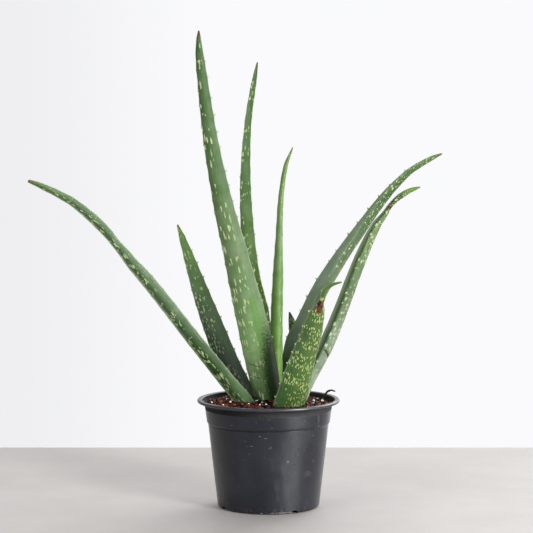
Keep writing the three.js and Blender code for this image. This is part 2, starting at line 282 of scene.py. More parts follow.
def realized(geometry):
    return nodeAfter("GeometryNodeRealizeInstances", {"Geometry": geometry}).outputs["Geometry"]


def dressed(geometry, material):
    inputs = {"Geometry": geometry, "Material": material}
    return nodeAfter("GeometryNodeSetMaterial", inputs).outputs["Geometry"]


def pointsOf(mesh):
    return nodeAfter("GeometryNodeMeshToPoints", {"Mesh": mesh}).outputs["Points"]


def randomNumber(low, high, seed):
    return nodeAfter("FunctionNodeRandomValue", {2: low, 3: high, "Seed": seed}, data_type="FLOAT").outputs[1]


def copiedTo(points, shape, turn, scale):
    rotation = nodeAfter("FunctionNodeEulerToRotation", {0: turn}).outputs[0]
    inputs = {"Points": points, "Instance": shape, "Rotation": rotation, "Scale": scale}
    return nodeAfter("GeometryNodeInstanceOnPoints", inputs).outputs["Instances"]


def newGroup(name, inputs, outputs, treeType="ShaderNodeTree"):
    # an input is given by its starting value, or by its kind where it has none, and an output by its kind
    tree = bpy.data.node_groups.new(name, treeType)
    for label, value in inputs.items():
        kind = value if isinstance(value, str) else "Int" if isinstance(value, int) else "Float"
        socket = tree.interface.new_socket(label, in_out="INPUT", socket_type="NodeSocket" + kind)
        if value != kind:
            socket.default_value = value
    for label, kind in outputs.items():
        tree.interface.new_socket(label, in_out="OUTPUT", socket_type="NodeSocket" + kind)
    return tree, tree.nodes.new("NodeGroupInput").outputs, tree.nodes.new("NodeGroupOutput")


def placeGroup(group, inputs):
    return nodeAfter("ShaderNodeGroup", inputs, node_tree=group).outputs


def newMaterial(name):
    material = bpy.data.materials.new(name)
    material.use_nodes = True
    tree = material.node_tree
    tree.nodes.clear()
    shader = tree.nodes.new("ShaderNodeBsdfPrincipled")
    feed(tree.nodes.new("ShaderNodeOutputMaterial"), "Surface", shader.outputs[0])
    return material, tree, shader


def bumped(shader, height, strength, distance):
    inputs = {"Height": height, "Strength": strength, "Distance": distance}
    feed(shader, "Normal", nodeAfter("ShaderNodeBump", inputs).outputs[0])


# Camera, floor and light

viewSettings = {
    "lens": 137.2,
    "place": (-2.3, -2335.4, 467.7),
    "pitchDown": 4.63,  # degrees
    "floorFront": -3200,
    "floorBack": 394,
    "floorSide": 2600,
    "floorColour": (184, 180, 178),
    "floorMottle": 0.9,
    "wallColour": (250, 250, 252),
    "wallLight": 1.35,  # the white wall behind the plant
    "wallDirection": (0.0, 0.94, 0.34),
    "roomLight": 0.05,  # what comes from the viewer's side
    "leftInGloss": 0.22,  # share of the left side's light that shows in reflections
}

camera = newObject("camera", bpy.data.cameras.new("camera"))
camera.data.lens = viewSettings["lens"]
camera.data.sensor_width = 36
camera.data.clip_end = 20
camera.location = Vector(viewSettings["place"]) * mm
camera.rotation_euler = (math.radians(90 - viewSettings["pitchDown"]), 0, 0)
scene.camera = camera
scene.view_settings.view_transform = "Standard"


def makeFloor():
    s = viewSettings
    side, front, back, thick = s["floorSide"] * mm, s["floorFront"] * mm, s["floorBack"] * mm, 0.03
    builder = bmesh.new()
    size = Matrix.Diagonal((2 * side, back - front, thick, 1))
    place = Matrix.Translation((0, (back + front) / 2, -thick / 2))
    bmesh.ops.create_cube(builder, size=1, matrix=place @ size)
    mesh = meshOf("floor", builder)
    floor = newObject("floor", mesh)
    material, tree, shader = newMaterial("paleFloor")
    cloud = noise(objectPlace(tree), 7.0, 6.0, 0.65)
    grain = noise(objectPlace(tree), 160.0, 4.0, 0.6)
    light = srgb(*s["floorColour"])
    dark = tuple(c * s["floorMottle"] for c in light[:3]) + (1.0,)
    colour = mixColour(rise(cloud, 0.32, 0.68), dark, light)
    feed(shader, "Base Color", mixColour(rise(grain, 0.3, 0.75, 0.0, 0.3), colour, dark))
    feed(shader, "Roughness", 0.6)
    mesh.materials.append(material)


def makeWorld():
    s = viewSettings
    world = bpy.data.worlds.new("room")
    world.use_nodes = True
    scene.world = world
    tree = world.node_tree
    tree.nodes.clear()
    towards = addNode(tree, "ShaderNodeTexCoord").outputs["Generated"]
    inputs = {0: towards, 1: s["wallDirection"]}
    facing = nodeAfter("ShaderNodeVectorMath", inputs, operation="DOT_PRODUCT").outputs["Value"]
    rays = addNode(tree, "ShaderNodeLightPath").outputs
    sideways = split(towards)[0]
    mirrored = rise(sideways, -0.9, 0.3, s["leftInGloss"], 1.0)
    dimming = timesPlus(rays["Is Glossy Ray"], less(mirrored, 1.0), 1.0)
    strength = times(rise(facing, -0.3, 0.9, s["roomLight"], s["wallLight"]), dimming)
    room = nodeAfter("ShaderNodeBackground", {"Color": (1, 1, 1, 1), "Strength": strength}).outputs[0]
    # the backdrop that the camera sees has painted shade: it is a little darker towards the left
    inputs = {"Color": srgb(*s["wallColour"]), "Strength": rise(sideways, -0.13, -0.02, 0.9, 1.0)}
    wall = nodeAfter("ShaderNodeBackground", inputs).outputs[0]
    mixed = nodeAfter("ShaderNodeMixShader", {0: rays["Is Camera Ray"], 1: room, 2: wall}).outputs[0]
    feed(addNode(tree, "ShaderNodeOutputWorld"), "Surface", mixed)


# azimuth 0 is the viewer's side and 90 the right; lift is the angle above the table
lampSettings = {
    "windowLight": {"azimuth": 41, "lift": 19, "distance": 2.6, "size": (0.6, 1.1), "power": 55},
    "leftFill": {
        "azimuth": -50, "lift": 18, "distance": 2.8, "size": (1.4, 1.2), "power": 30, "shineless": True,
    },
    "backLight": {"azimuth": 150, "lift": 30, "distance": 2.4, "size": (1.2, 1.0), "power": 27},
    "windowShine": {
        "azimuth": 53, "lift": 6, "distance": 2.6, "size": (0.4, 0.9), "power": 150, "shineOnly": True,
    },
}


def makeLight(name, settings):
    light = bpy.data.lights.new(name, "AREA")
    light.shape = "RECTANGLE"
    light.size, light.size_y = settings["size"]
    light.energy = settings["power"]
    lamp = newObject(name, light)
    lamp.visible_diffuse = not settings.get("shineOnly", False)
    lamp.visible_glossy = not settings.get("shineless", False)
    azimuth, lift = math.radians(settings["azimuth"]), math.radians(settings["lift"])
    aim = Vector((0, 0, 0.22))
    flat = math.cos(lift)
    direction = Vector((math.sin(azimuth) * flat, -math.cos(azimuth) * flat, math.sin(lift)))
    lamp.location = aim + direction * settings["distance"]
    lamp.rotation_euler = direction.to_track_quat("Z", "Y").to_euler()


makeFloor()
makeWorld()
for lampName, lampValues in lampSettings.items():
    makeLight(lampName, lampValues)
print("camera, floor and light made")

# Shared node groups


def makeFleckGroup():
    # pale oval flecks, long along the leaf, gathered in loose bands across it
    tree, given, leave = newGroup(
        "fleckBands",
        {
            "Place": "Vector", "Across Size": 0.004, "Along Size": 0.012, "Fleck Size": 1.0, "Cover": 0.3,
            "Band Length": 0.03, "Banding": 0.6, "Seed": 0.0,
        },
        {"Mask": "Float", "Band": "Float"},
    )
    parts = split(given["Place"])
    shift = timesPlus(parts[2], 31.3, times(given["Seed"], 3.7))
    wobble = nodeAfter("ShaderNodeTexNoise", {"Vector": given["Place"], "Scale": 420.0, "Detail": 2.0})
    sway = splitColour(wobble.outputs["Color"])
    across, along = (
        plus(plus(divided(parts[i], given[size]), shift), rise(sway[i], 0.25, 0.75, -0.12, 0.12))
        for i, size in enumerate(("Across Size", "Along Size"))
    )
    inputs = {"Vector": joined(across, along), "Scale": 1.0, "Randomness": 1.0}
    cells = nodeAfter("ShaderNodeTexVoronoi", inputs, voronoi_dimensions="2D", feature="F1").outputs
    chance = splitColour(cells["Color"])
    bandPlace = joined(times(parts[0], 42.0), plus(divided(parts[1], given["Band Length"]), shift))
    band = rise(noise(bandPlace, 1.0, 1.0, dimensions="2D"), 0.44, 0.56)
    reach = timesPlus(less(band, 0.5), times(given["Banding"], 2.0), 1.0)
    shown = calc("LESS_THAN", chance[1], times(given["Cover"], reach))
    radius = times(timesPlus(chance[0], 0.22, 0.2), given["Fleck Size"])
    edge = rise(less(radius, cells["Distance"]), -0.05, 0.11)
    feed(leave, "Mask", times(times(edge, shown), timesPlus(chance[2], 0.4, 0.6)))
    feed(leave, "Band", band)
    return tree


def makeStreakGroup():
    # faint lines along a leaf, and a slow mottling
    inputs = {"Place": "Vector", "Line Width": 0.0012}
    tree, given, leave = newGroup("leafStreaks", inputs, {"Lines": "Float", "Mottle": "Float"})
    parts = split(given["Place"])
    stretched = joined(divided(parts[0], given["Line Width"]), times(parts[1], 28.0), parts[2])
    feed(leave, "Lines", noise(stretched, 1.0, 4.0, 0.6))
    feed(leave, "Mottle", noise(given["Place"], 55.0, 4.0, 0.6))
    return tree


def makeSpeckGroup():
    # small scattered specks, such as dust, grit and dried drops
    inputs = {"Place": "Vector", "Speck Size": 0.0015, "Cover": 0.1}
    tree, given, leave = newGroup("looseSpecks", inputs, {"Mask": "Float"})
    size = given["Speck Size"]
    scaled = calcVector("DIVIDE", given["Place"], joined(size, size, size))
    wobble = nodeAfter("ShaderNodeTexNoise", {"Vector": scaled, "Scale": 1.3, "Detail": 2.0}).outputs["Color"]
    inputs = {"Vector": calcVector("ADD", scaled, wobble), "Scale": 1.0}
    cells = nodeAfter("ShaderNodeTexVoronoi", inputs, feature="F1").outputs
    chance = splitColour(cells["Color"])
    edge = less(times(chance[0], 0.42), cells["Distance"])
    feed(leave, "Mask", times(rise(edge, -0.03, 0.09), calc("LESS_THAN", chance[1], given["Cover"])))
    return tree


def makeBarkGroup():
    # fibrous brown matter: a colour and a height
    inputs = {"Place": "Vector", "Tint": 0.5, "Fibre Scale": 700.0}
    tree, given, leave = newGroup("barkFibre", inputs, {"Colour": "Color", "Height": "Float"})
    coarse = noise(given["Place"], given["Fibre Scale"], 4.0, 0.65)
    stops = [
        (0.0, srgb(9, 5, 5)),
        (0.3, srgb(34, 13, 10)),
        (0.6, srgb(88, 33, 21)),
        (0.85, srgb(130, 56, 36)),
        (1.0, srgb(164, 98, 70)),
    ]
    feed(leave, "Colour", ramp(timesPlus(less(coarse, 0.5), 0.55, given["Tint"]), stops))
    feed(leave, "Height", coarse)
    return tree


fleckGroup = makeFleckGroup()
streakGroup = makeStreakGroup()
speckGroup = makeSpeckGroup()
barkGroup = makeBarkGroup()
print("shared node groups made")

# Leaves

leafShape = {
    "marginHalfThickness": 0.55,
    "thinnestBlade": 0.9,
    "outerRoundness": 0.8,
    "outerSteps": 34,
    "innerSteps": 26,
    "marginSteps": 3,
    "ringSpacing": 1.3,
    "swelling": 0.22,  # slow unevenness of the faces
    "swellingLength": 46,
    "marginWave": 0.35,  # the margin dips in between two teeth
    "marginBulge": 0.35,
}

toothShape = {
    "length": 4.6,
    "sunk": 1.4,
    "rootLength": 1.9,
    "rootThickness": 0.7,
    "lean": 0.55,
    "lowest": 127,
    "span": (0.06, 0.96),
    "jitter": 0.22,
}

# what most leaves share, and what most of their scars, creases and patches of painted shade and light share
leafDefaults = {
    # the lightness across each face paints shade, and shadeTint makes that painted shade greener
    "shadeTint": (1.2, 1, 1.3),  # above 1 where a darker tone takes more of that colour away
    "fleckSize": 1,
    "innerFlecks": 0.5,
    "fleckEnd": 1.1,
    "paleLines": 0.14,
    "darkLines": 0.25,
    "paleMargin": 0.4,
    "toothColour": "pale",
    "scarsAndShading": [],
}
scarAndShadingDefaults = {
    "slope": 0,
    "patch": 0.6,
}

# route rows are x, y, z and width; turn and tipBack are as in the CAD. outer and inner give each face's
# colour along the leaf, and tone how light it is from the -1 margin to the +1 margin. These colours and
# tones were worked out from the photograph by scratch scripts, and then shortened and rounded by hand
# Besides the leaves' own colour, these colours and lightnesses hold painted shade: the lightness across a
# face paints its shade, such as a shaded channel or a side turned away from the light, and darker colours
# paint the shade near some bases and on leaves that stand in shade
leafSettings = {
    "leaf_front_tall": {
        "turn": (-20, -12), "bulge": 0.26, "thickness": 0.25, "teeth": 20, "tipBack": (2, 0), "seed": 1,
        "route": [
            (3, 1, 98, 28), (-1, 0, 119, 32.5), (-6.5, -4, 148, 36.5), (-13, -10, 181, 38.3),
            (-21, -18, 219, 36.8), (-30.5, -28, 260, 32.6), (-39, -39, 299, 28.5), (-48.3, -51, 337, 24.6),
            (-57, -63, 380, 20.4), (-64.8, -77, 425, 16.8), (-70.5, -90, 470, 13.4), (-75, -103, 512, 9.8),
            (-76.3, -109, 534, 5.8), (-76, -112, 545, 1.2),
        ],
        "outer": [
            (0, (85, 100, 80)), (0.1, (140, 170, 122)), (0.2, (166, 200, 142)), (0.35, (133, 160, 117)),
            (0.5, (128, 152, 110)), (0.65, (103, 134, 87)), (1, (90, 120, 77)),
        ],
        "inner": [(0, (84, 112, 80)), (1, (92, 120, 84))],
        "toneAndShade": [(0, 0.8), (0.18, 0.88), (0.5, 0.95), (0.76, 0.97), (0.9, 0.9), (1, 0.87)],
        "innerToneAndShade": [(0, 0.91), (1, 0.91)],
        "fleck": (214, 224, 172), "fleckSize": 1.12, "cover": 0.31, "acrossSize": 2.7, "alongSize": 13,
        "bandLength": 22, "banding": 0.9, "fleckCentre": 0.36, "fleckSpread": 0.3, "bloom": 0.15,
        "tip": (96, 58, 36), "tipShare": 0.993, "toothScale": 1,
        "scarsAndShading": [
            {"along": 70.4, "across": -5.5, "slope": -0.32, "halfLong": 0.75, "halfWide": 9.5, "ragged": 0.5,
             "colour": (70, 84, 56), "strength": 0.75, "dent": 0.35},
            {"along": 55.3, "across": -5, "slope": -0.34, "halfLong": 0.75, "halfWide": 9, "ragged": 0.5,
             "colour": (70, 84, 56), "strength": 0.7, "dent": 0.35},
            # painted light: a brighter, lit green stripe beside the painted shadow below
            {"along": 113, "across": 9, "halfLong": 44, "halfWide": 4.8, "ragged": 0.7,
             "colour": (112, 164, 76), "patch": 0.9, "strength": 0.6, "dent": 0},
            # painted shadow: the dark patch up the lower right margin is the shade that leaf_front_spotted
            # casts here
            {"along": 30, "across": 20, "halfLong": 84, "halfWide": 17, "ragged": 0.35,
             "colour": (32, 64, 24), "patch": 0.85, "strength": 0.9, "dent": 0},
        ],
    },
    "leaf_left_long": {
        "turn": (-35, -30), "bulge": 0.3, "thickness": 0.28, "teeth": 18, "tipBack": (2, 0), "seed": 2,
        "route": [
            (-17, -8, 101, 21), (-28.5, -7, 120, 24), (-44.8, -9, 140, 23.2), (-65.7, -13, 167, 22),
            (-87.3, -18, 195, 21), (-122.2, -28, 242, 19.8), (-141.5, -34, 267, 18.8), (-157, -40, 286, 16),
            (-164, -43, 296, 14.2), (-172, -46, 306, 12.2), (-180.5, -49, 317, 12.8),
            (-190, -52, 328, 13.8), (-206, -56, 343.2, 12.4), (-221, -60, 355.6, 11),
            (-239.5, -65, 366.4, 9.2), (-257, -69, 375.2, 7), (-268, -71, 379.8, 3.2),
        ],
        "outer": [
            (0, (115, 135, 105)), (0.07, (180, 212, 165)), (0.2, (113, 150, 96)), (0.3, (140, 173, 126)),
            (0.42, (192, 215, 190)), (0.85, (196, 218, 190)), (1, (210, 228, 180)),
        ],
        "inner": [(0, (76, 104, 70)), (1, (92, 120, 88))],
        "toneAndShade": [(0.12, 0.98), (0.26, 0.8), (0.4, 0.53), (0.5, 0.435), (0.62, 0.465), (0.84, 0.605)],
        "innerToneAndShade": [(0, 0.91), (1, 0.91)],
        "fleck": (192, 208, 150), "fleckSize": 1.1, "cover": 0.6, "acrossSize": 2.2, "alongSize": 7.5,
        "bandLength": 13, "banding": 0.8, "fleckCentre": 0.42, "fleckSpread": 0.24, "bloom": 0.1,
        "tip": (108, 92, 54), "tipShare": 0.994, "toothScale": 0.62,
    },
    "leaf_left_short": {
        "turn": (-150, -160), "bulge": 0.27, "thickness": 0.25, "teeth": 12, "tipBack": (0, 2), "seed": 3,
        "route": [
            (-21, 25, 99, 24), (-28, 29, 120, 27.5), (-48, 38, 158, 29), (-64, 52, 197, 26),
            (-78.3, 65, 234, 21.6), (-91, 78, 270, 15.2), (-97.5, 85, 289, 11.4), (-104.2, 91, 308, 6.8),
            (-109, 96, 321, 1.4),
        ],
        "outer": [(0, (84, 108, 76)), (1, (96, 122, 78))],
        "inner": [
            (0.07, (61, 79, 61)), (0.15, (48, 63, 50)), (0.4, (64, 86, 61)), (0.55, (68, 91, 61)),
            (0.72, (82, 110, 65)), (0.85, (102, 132, 75)), (1, (113, 144, 80)),
        ],
        "toneAndShade": [(0, 0.975), (0.5, 0.92), (1, 0.88)],
        "fleck": (150, 172, 118), "fleckSize": 1.1, "cover": 0.45, "acrossSize": 2.2, "alongSize": 6,
        "bandLength": 15, "banding": 0.6, "fleckCentre": 0.7, "fleckSpread": 0.32, "innerFlecks": 1,
        "bloom": 0.04, "tip": (110, 124, 64), "tipShare": 0.99, "toothScale": 0.8, "toothColour": "green",
    },
    "leaf_back_tall": {
        "turn": (140, 184), "bulge": 0.3, "thickness": 0.27, "teeth": 18, "tipBack": (0, 0), "seed": 4,
        "route": [
            (7, 40, 99, 19), (4, 48, 122, 24), (-2, 56, 170, 24), (-8, 64, 219, 23), (-14.6, 70, 245, 21.5),
            (-19.6, 77, 271, 19.2), (-25.3, 90, 327, 15.7), (-27.2, 104, 384, 11.9), (-24.6, 118, 441, 8.1),
            (-19.4, 128, 480, 6.3), (-16, 133, 500, 4.6), (-13.4, 137, 515.5, 1.2),
        ],
        "outer": [(0, (98, 124, 80)), (1, (96, 124, 78))],
        "inner": [
            (0.36, (95, 123, 63)), (0.45, (123, 152, 99)), (0.6, (119, 146, 100)), (0.69, (106, 136, 91)),
            (0.77, (113, 143, 101)), (0.87, (102, 133, 84)),
        ],
        "toneAndShade": [(0, 1), (0.5, 0.93), (0.8, 0.83), (1, 0.61)],
        "fleck": (186, 204, 140), "cover": 0.3, "acrossSize": 2.2, "alongSize": 7,
        "bandLength": 22, "banding": 0.8, "fleckCentre": 0.5, "fleckSpread": 0.6, "innerFlecks": 1,
        "bloom": 0.06, "tip": (104, 98, 58), "tipShare": 0.992, "toothScale": 0.5, "toothColour": "green",
    },
    "leaf_centre_young": {
        "turn": (20, 20), "bulge": 0.42, "thickness": 0.42, "teeth": 15, "tipBack": (0, 2), "seed": 5,
        "route": [
            (8, 8, 98, 12), (9.8, 10, 124, 14.4), (10.4, 12, 170, 15), (10.5, 13, 215, 14.6),
            (11.9, 15, 265, 12.7), (13, 18, 312, 8.5), (14.4, 20, 350, 6.5), (17.3, 22, 377, 5.5),
            (21, 23, 396, 4.6), (28.2, 25, 415, 1),
        ],
        "outer": [
            (0, (124, 170, 69)), (0.1, (135, 182, 78)), (0.3, (136, 178, 90)), (0.5, (134, 172, 97)),
            (0.62, (142, 172, 113)), (1, (139, 169, 101)),
        ],
        "inner": [(0, (78, 108, 54)), (1, (94, 132, 66))],
        "shadeTint": (1.1, 1, 1.1),
        "toneAndShade": [(0, 0.82), (0.16, 0.825), (0.4, 0.92), (0.8, 0.97), (1, 1)],
        "innerToneAndShade": [(0, 0.74), (0.16, 0.8), (0.4, 0.93), (0.8, 1)],
        "fleck": (190, 212, 146), "cover": 0.2, "acrossSize": 2, "alongSize": 8,
        "bandLength": 20, "banding": 0.5, "fleckCentre": 0.85, "fleckSpread": 0.16,
        "bloom": 0.04, "tip": (122, 140, 74), "tipShare": 0.99, "toothScale": 0.5, "toothColour": "green",
    },
    "leaf_front_spotted": {
        "turn": (25, 18), "bulge": 0.29, "thickness": 0.28, "teeth": 13, "tipBack": (0, 2), "seed": 6,
        "route": [
            (19, -30, 99, 31), (24.5, -36, 118, 38), (30, -44, 138, 37.5), (35.3, -53, 160, 34),
            (43.6, -65, 190, 28.5), (48.2, -72, 205, 25.5), (51, -77, 217, 23.4), (55.2, -83, 234.5, 16.6),
            (57.8, -87, 243, 8.4), (59.7, -89, 249, 6.6), (62.5, -91, 257, 6.2), (66.5, -93, 263, 5),
            (71, -94, 266, 3.7), (81, -96, 269, 1.2),
        ],
        "outer": [(0, (80, 118, 57)), (0.3, (86, 119, 68)), (0.6, (88, 116, 71)), (1, (98, 125, 71))],
        "inner": [(0, (80, 108, 66)), (1, (90, 122, 70))],
        "shadeTint": (1, 1, 1),
        "toneAndShade": [
            (0, (0.94, 0.96, 1)), (0.14, (0.9, 0.92, 0.96)), (0.3, (0.92, 0.93, 0.88)), (0.6, (1, 1, 0.86)),
        ],
        "innerToneAndShade": [(0, 0.96), (0.14, 0.91), (0.3, 0.92), (0.6, 1)],
        "fleck": (204, 218, 142), "fleckSize": 1.02, "cover": 1.05, "acrossSize": 1.65, "alongSize": 5.4,
        "bandLength": 9.5, "banding": 0.82, "fleckCentre": 0.55, "fleckSpread": 0.5, "fleckEnd": 0.86,
        "bloom": 0.02, "tip": (104, 126, 62), "tipShare": 0.99, "toothScale": 0.85,
        "scarsAndShading": [
            {"along": 157, "across": -0.4, "halfLong": 8, "halfWide": 4.6, "ragged": 1.2,
             "colour": (120, 58, 46), "patch": 0.45, "strength": 0.95, "dent": 0.4},
            {"along": 160.5, "across": -2.4, "slope": 0.3, "halfLong": 3.4, "halfWide": 1.7, "ragged": 0.8,
             "colour": (44, 22, 26), "strength": 0.95, "dent": 0.3},
        ],
    },
    "leaf_right_long": {
        "turn": (118, 84), "bulge": 0.37, "thickness": 0.31, "teeth": 17, "tipBack": (0, 1.4), "seed": 7,
        "route": [
            (14, 17, 98, 24.7), (20, 20, 120, 30.3), (26, 24, 144, 34.2), (33.2, 31, 184, 37.3),
            (45.1, 37, 209, 36.2), (62.6, 45, 246, 35.3), (85.3, 53, 282.4, 33.1), (111.3, 63, 319.5, 29.2),
            (139.5, 74, 356.6, 23.7), (165.4, 82, 382.9, 17.9), (180.6, 86, 393.3, 15.4),
            (195.2, 90, 401.1, 10.6), (207, 93, 406, 1.8),
        ],
        "outer": [
            (0, (83, 101, 70)), (0.3, (105, 125, 96)), (0.45, (115, 136, 106)), (0.56, (97, 119, 85)),
            (0.7, (89, 117, 74)), (0.83, (77, 107, 60)), (0.96, (98, 126, 74)),
        ],
        "inner": [
            (0, (58, 74, 52)), (0.18, (73, 92, 69)), (0.3, (119, 139, 113)), (0.44, (141, 161, 136)),
            (0.56, (141, 161, 136)), (0.7, (127, 156, 120)), (0.85, (118, 150, 106)), (1, (107, 134, 81)),
        ],
        "shadeTint": (1, 1, 1),
        "toneAndShade": [(0, 0.96), (0.25, 1), (0.6, 0.98), (1, 0.94)],
        "innerToneAndShade": [(0, 0.96), (0.5, 0.97), (1, 1)],
        "fleck": (196, 214, 158), "fleckSize": 0.82, "cover": 0.5, "acrossSize": 2, "alongSize": 5.6,
        "bandLength": 16, "banding": 0.6, "fleckCentre": 0.14, "fleckSpread": 0.22, "innerFlecks": 0.12,
        "paleLines": 0.1, "darkLines": 0.5, "paleMargin": 0.08, "bloom": 0.07,
        "tip": (100, 88, 54), "tipShare": 0.992, "toothScale": 1,
    },
    "leaf_right_kinked": {
        "turn": (101, 96), "bulge": 0.48, "thickness": 0.32, "teeth": 14, "tipBack": (0, 0), "seed": 8,
        "route": [
            (33, 9, 99, 17), (38.5, 8, 122, 22), (48.3, 5, 148, 26), (68, -2, 187, 27.5),
            (85.3, -10, 231, 26), (98.4, -19, 269, 24.2), (110.7, -27, 301, 21.8), (122.6, -34, 327, 16.6),
            (132.6, -38, 342, 10), (137.6, -40, 350.5, 7.6), (144, -41, 357.2, 8.7), (150.2, -42, 362, 10),
            (157, -43, 366.4, 8.4), (164, -44, 369.5, 6.2), (171, -45, 372, 1.2),
        ],
        "outer": [
            (0.12, (188, 205, 184)), (0.2, (155, 171, 149)), (0.3, (142, 161, 140)),
            (0.37, (146, 165, 141)),
            (0.46, (113, 132, 106)), (0.7, (112, 140, 91)), (0.78, (127, 152, 101)), (0.93, (92, 112, 64)),
        ],
        "inner": [
            (0.3, (161, 165, 156)), (0.55, (166, 182, 152)), (0.8, (164, 180, 141)), (1, (153, 175, 112)),
        ],
        "shadeTint": (1.3, 1, 1.38),
        # painted shade: on the outer face the dark start is the shaded groove under the near margin, and on
        # the inner face the dark part is the shade in the channel
        "toneAndShade": [(0, 0.59), (0.004, 0.63), (0.014, 0.99), (0.3, 1), (0.48, 0.88), (0.62, 0.77)],
        "innerToneAndShade": [(0, 0.475), (0.74, 0.5), (0.83, 0.73), (0.92, 0.915), (1, 1)],
        "fleck": (206, 216, 176), "fleckSize": 0.95, "cover": 0.55, "acrossSize": 2, "alongSize": 6.2,
        "bandLength": 11, "banding": 0.45, "fleckCentre": 0.24, "fleckSpread": 0.22, "innerFlecks": 0.15,
        "paleLines": 0.35, "darkLines": 0.6, "paleMargin": 0, "bloom": 0.1,
        "tip": (118, 150, 76), "tipShare": 0.95, "toothScale": 0.35, "toothColour": "green",
        "scarsAndShading": [
            {"along": 88.5, "across": -8.2, "slope": -1, "halfLong": 2, "halfWide": 5.6, "ragged": 0.3,
             "colour": (84, 52, 46), "strength": 0.9, "dent": 0.35},
            {"along": 277.5, "across": -2.6, "halfLong": 2.2, "halfWide": 2, "ragged": 0.8,
             "colour": (112, 44, 34), "strength": 0.95, "dent": 0.2},
        ],
    },
    "leaf_back_small": {
        "turn": (178, 184), "bulge": 0.28, "thickness": 0.28, "teeth": 5, "tipBack": (1, 1), "seed": 9,
        "route": [
            (37, 41, 101, 14), (38, 44, 123, 17), (35, 50, 150, 17), (32, 56, 180, 14), (30, 60, 198, 11),
            (27, 63, 210, 6.6), (25, 65, 219, 1.2),
        ],
        "outer": [(0, (100, 122, 84)), (1, (100, 122, 84))],
        "inner": [(0, (81, 97, 69)), (1, (88, 105, 76))],
        "toneAndShade": [(0, 0.92), (0.5, 1), (1, 0.92)],
        "fleck": (150, 170, 122), "fleckSize": 1.1, "cover": 0.6, "acrossSize": 2.3, "alongSize": 5,
        "bandLength": 12, "banding": 0.4, "fleckCentre": 0.5, "fleckSpread": 0.6, "innerFlecks": 1,
        "bloom": 0.03, "tip": (84, 82, 50), "tipShare": 0.98, "toothScale": 0.6, "toothColour": "green",
    },
}
leafSettings = {name: {**leafDefaults, **leaf} for name, leaf in leafSettings.items()}


def leafFrames(leaf, distances):
    # the leaf's own directions: middle, along, across and outwards, with its width
    rows, length = curveAt(leaf["route"], distances)
    ahead = curveAt(leaf["route"], np.minimum(distances + 0.5, length))[0][:, :3]
    behind = curveAt(leaf["route"], np.maximum(distances - 0.5, 0))[0][:, :3]
    along = unit(ahead - behind)
    front = np.array([0.0, -1.0, 0.0])
    flat = unit(front - along * (along @ front)[:, None])
    first, last = leaf["turn"]
    turn = np.radians(first + (last - first) * distances / length)[:, None]
    outwards = flat * np.cos(turn) + np.cross(along, flat) * np.sin(turn)
    return rows[:, :3], along, np.cross(along, outwards), outwards, rows[:, 3]


def toothDistances(leaf, side):
    # places of the teeth along one margin, a little uneven
    length = routeLength(leaf["route"])
    low, high = toothShape["span"]
    rng = np.random.default_rng(100 * leaf["seed"] + (side > 0))
    offset = 0.3 if side > 0 else 0.7
    shares = np.arange(leaf["teeth"]) + offset + rng.uniform(-1, 1, leaf["teeth"]) * toothShape["jitter"]
    distances = length * (low + (high - low) * shares / leaf["teeth"])
    heights = curveAt(leaf["route"], distances)[0][:, 2]
    return distances[heights > toothShape["lowest"]]


def scarDepth(leaf, across, along):
    # how far the outer face sinks in at a scar or a crease
    depth = 0
    for scarAndShading in leaf["scarsAndShading"]:
        scarAndShading = {**scarAndShadingDefaults, **scarAndShading}
        offset = across - scarAndShading["across"]
        slant = (along - scarAndShading["along"] - scarAndShading["slope"] * offset) / scarAndShading["halfLong"]
        depth = depth + scarAndShading["dent"] * np.exp(-(offset / scarAndShading["halfWide"]) ** 2 - slant**2)
    return depth


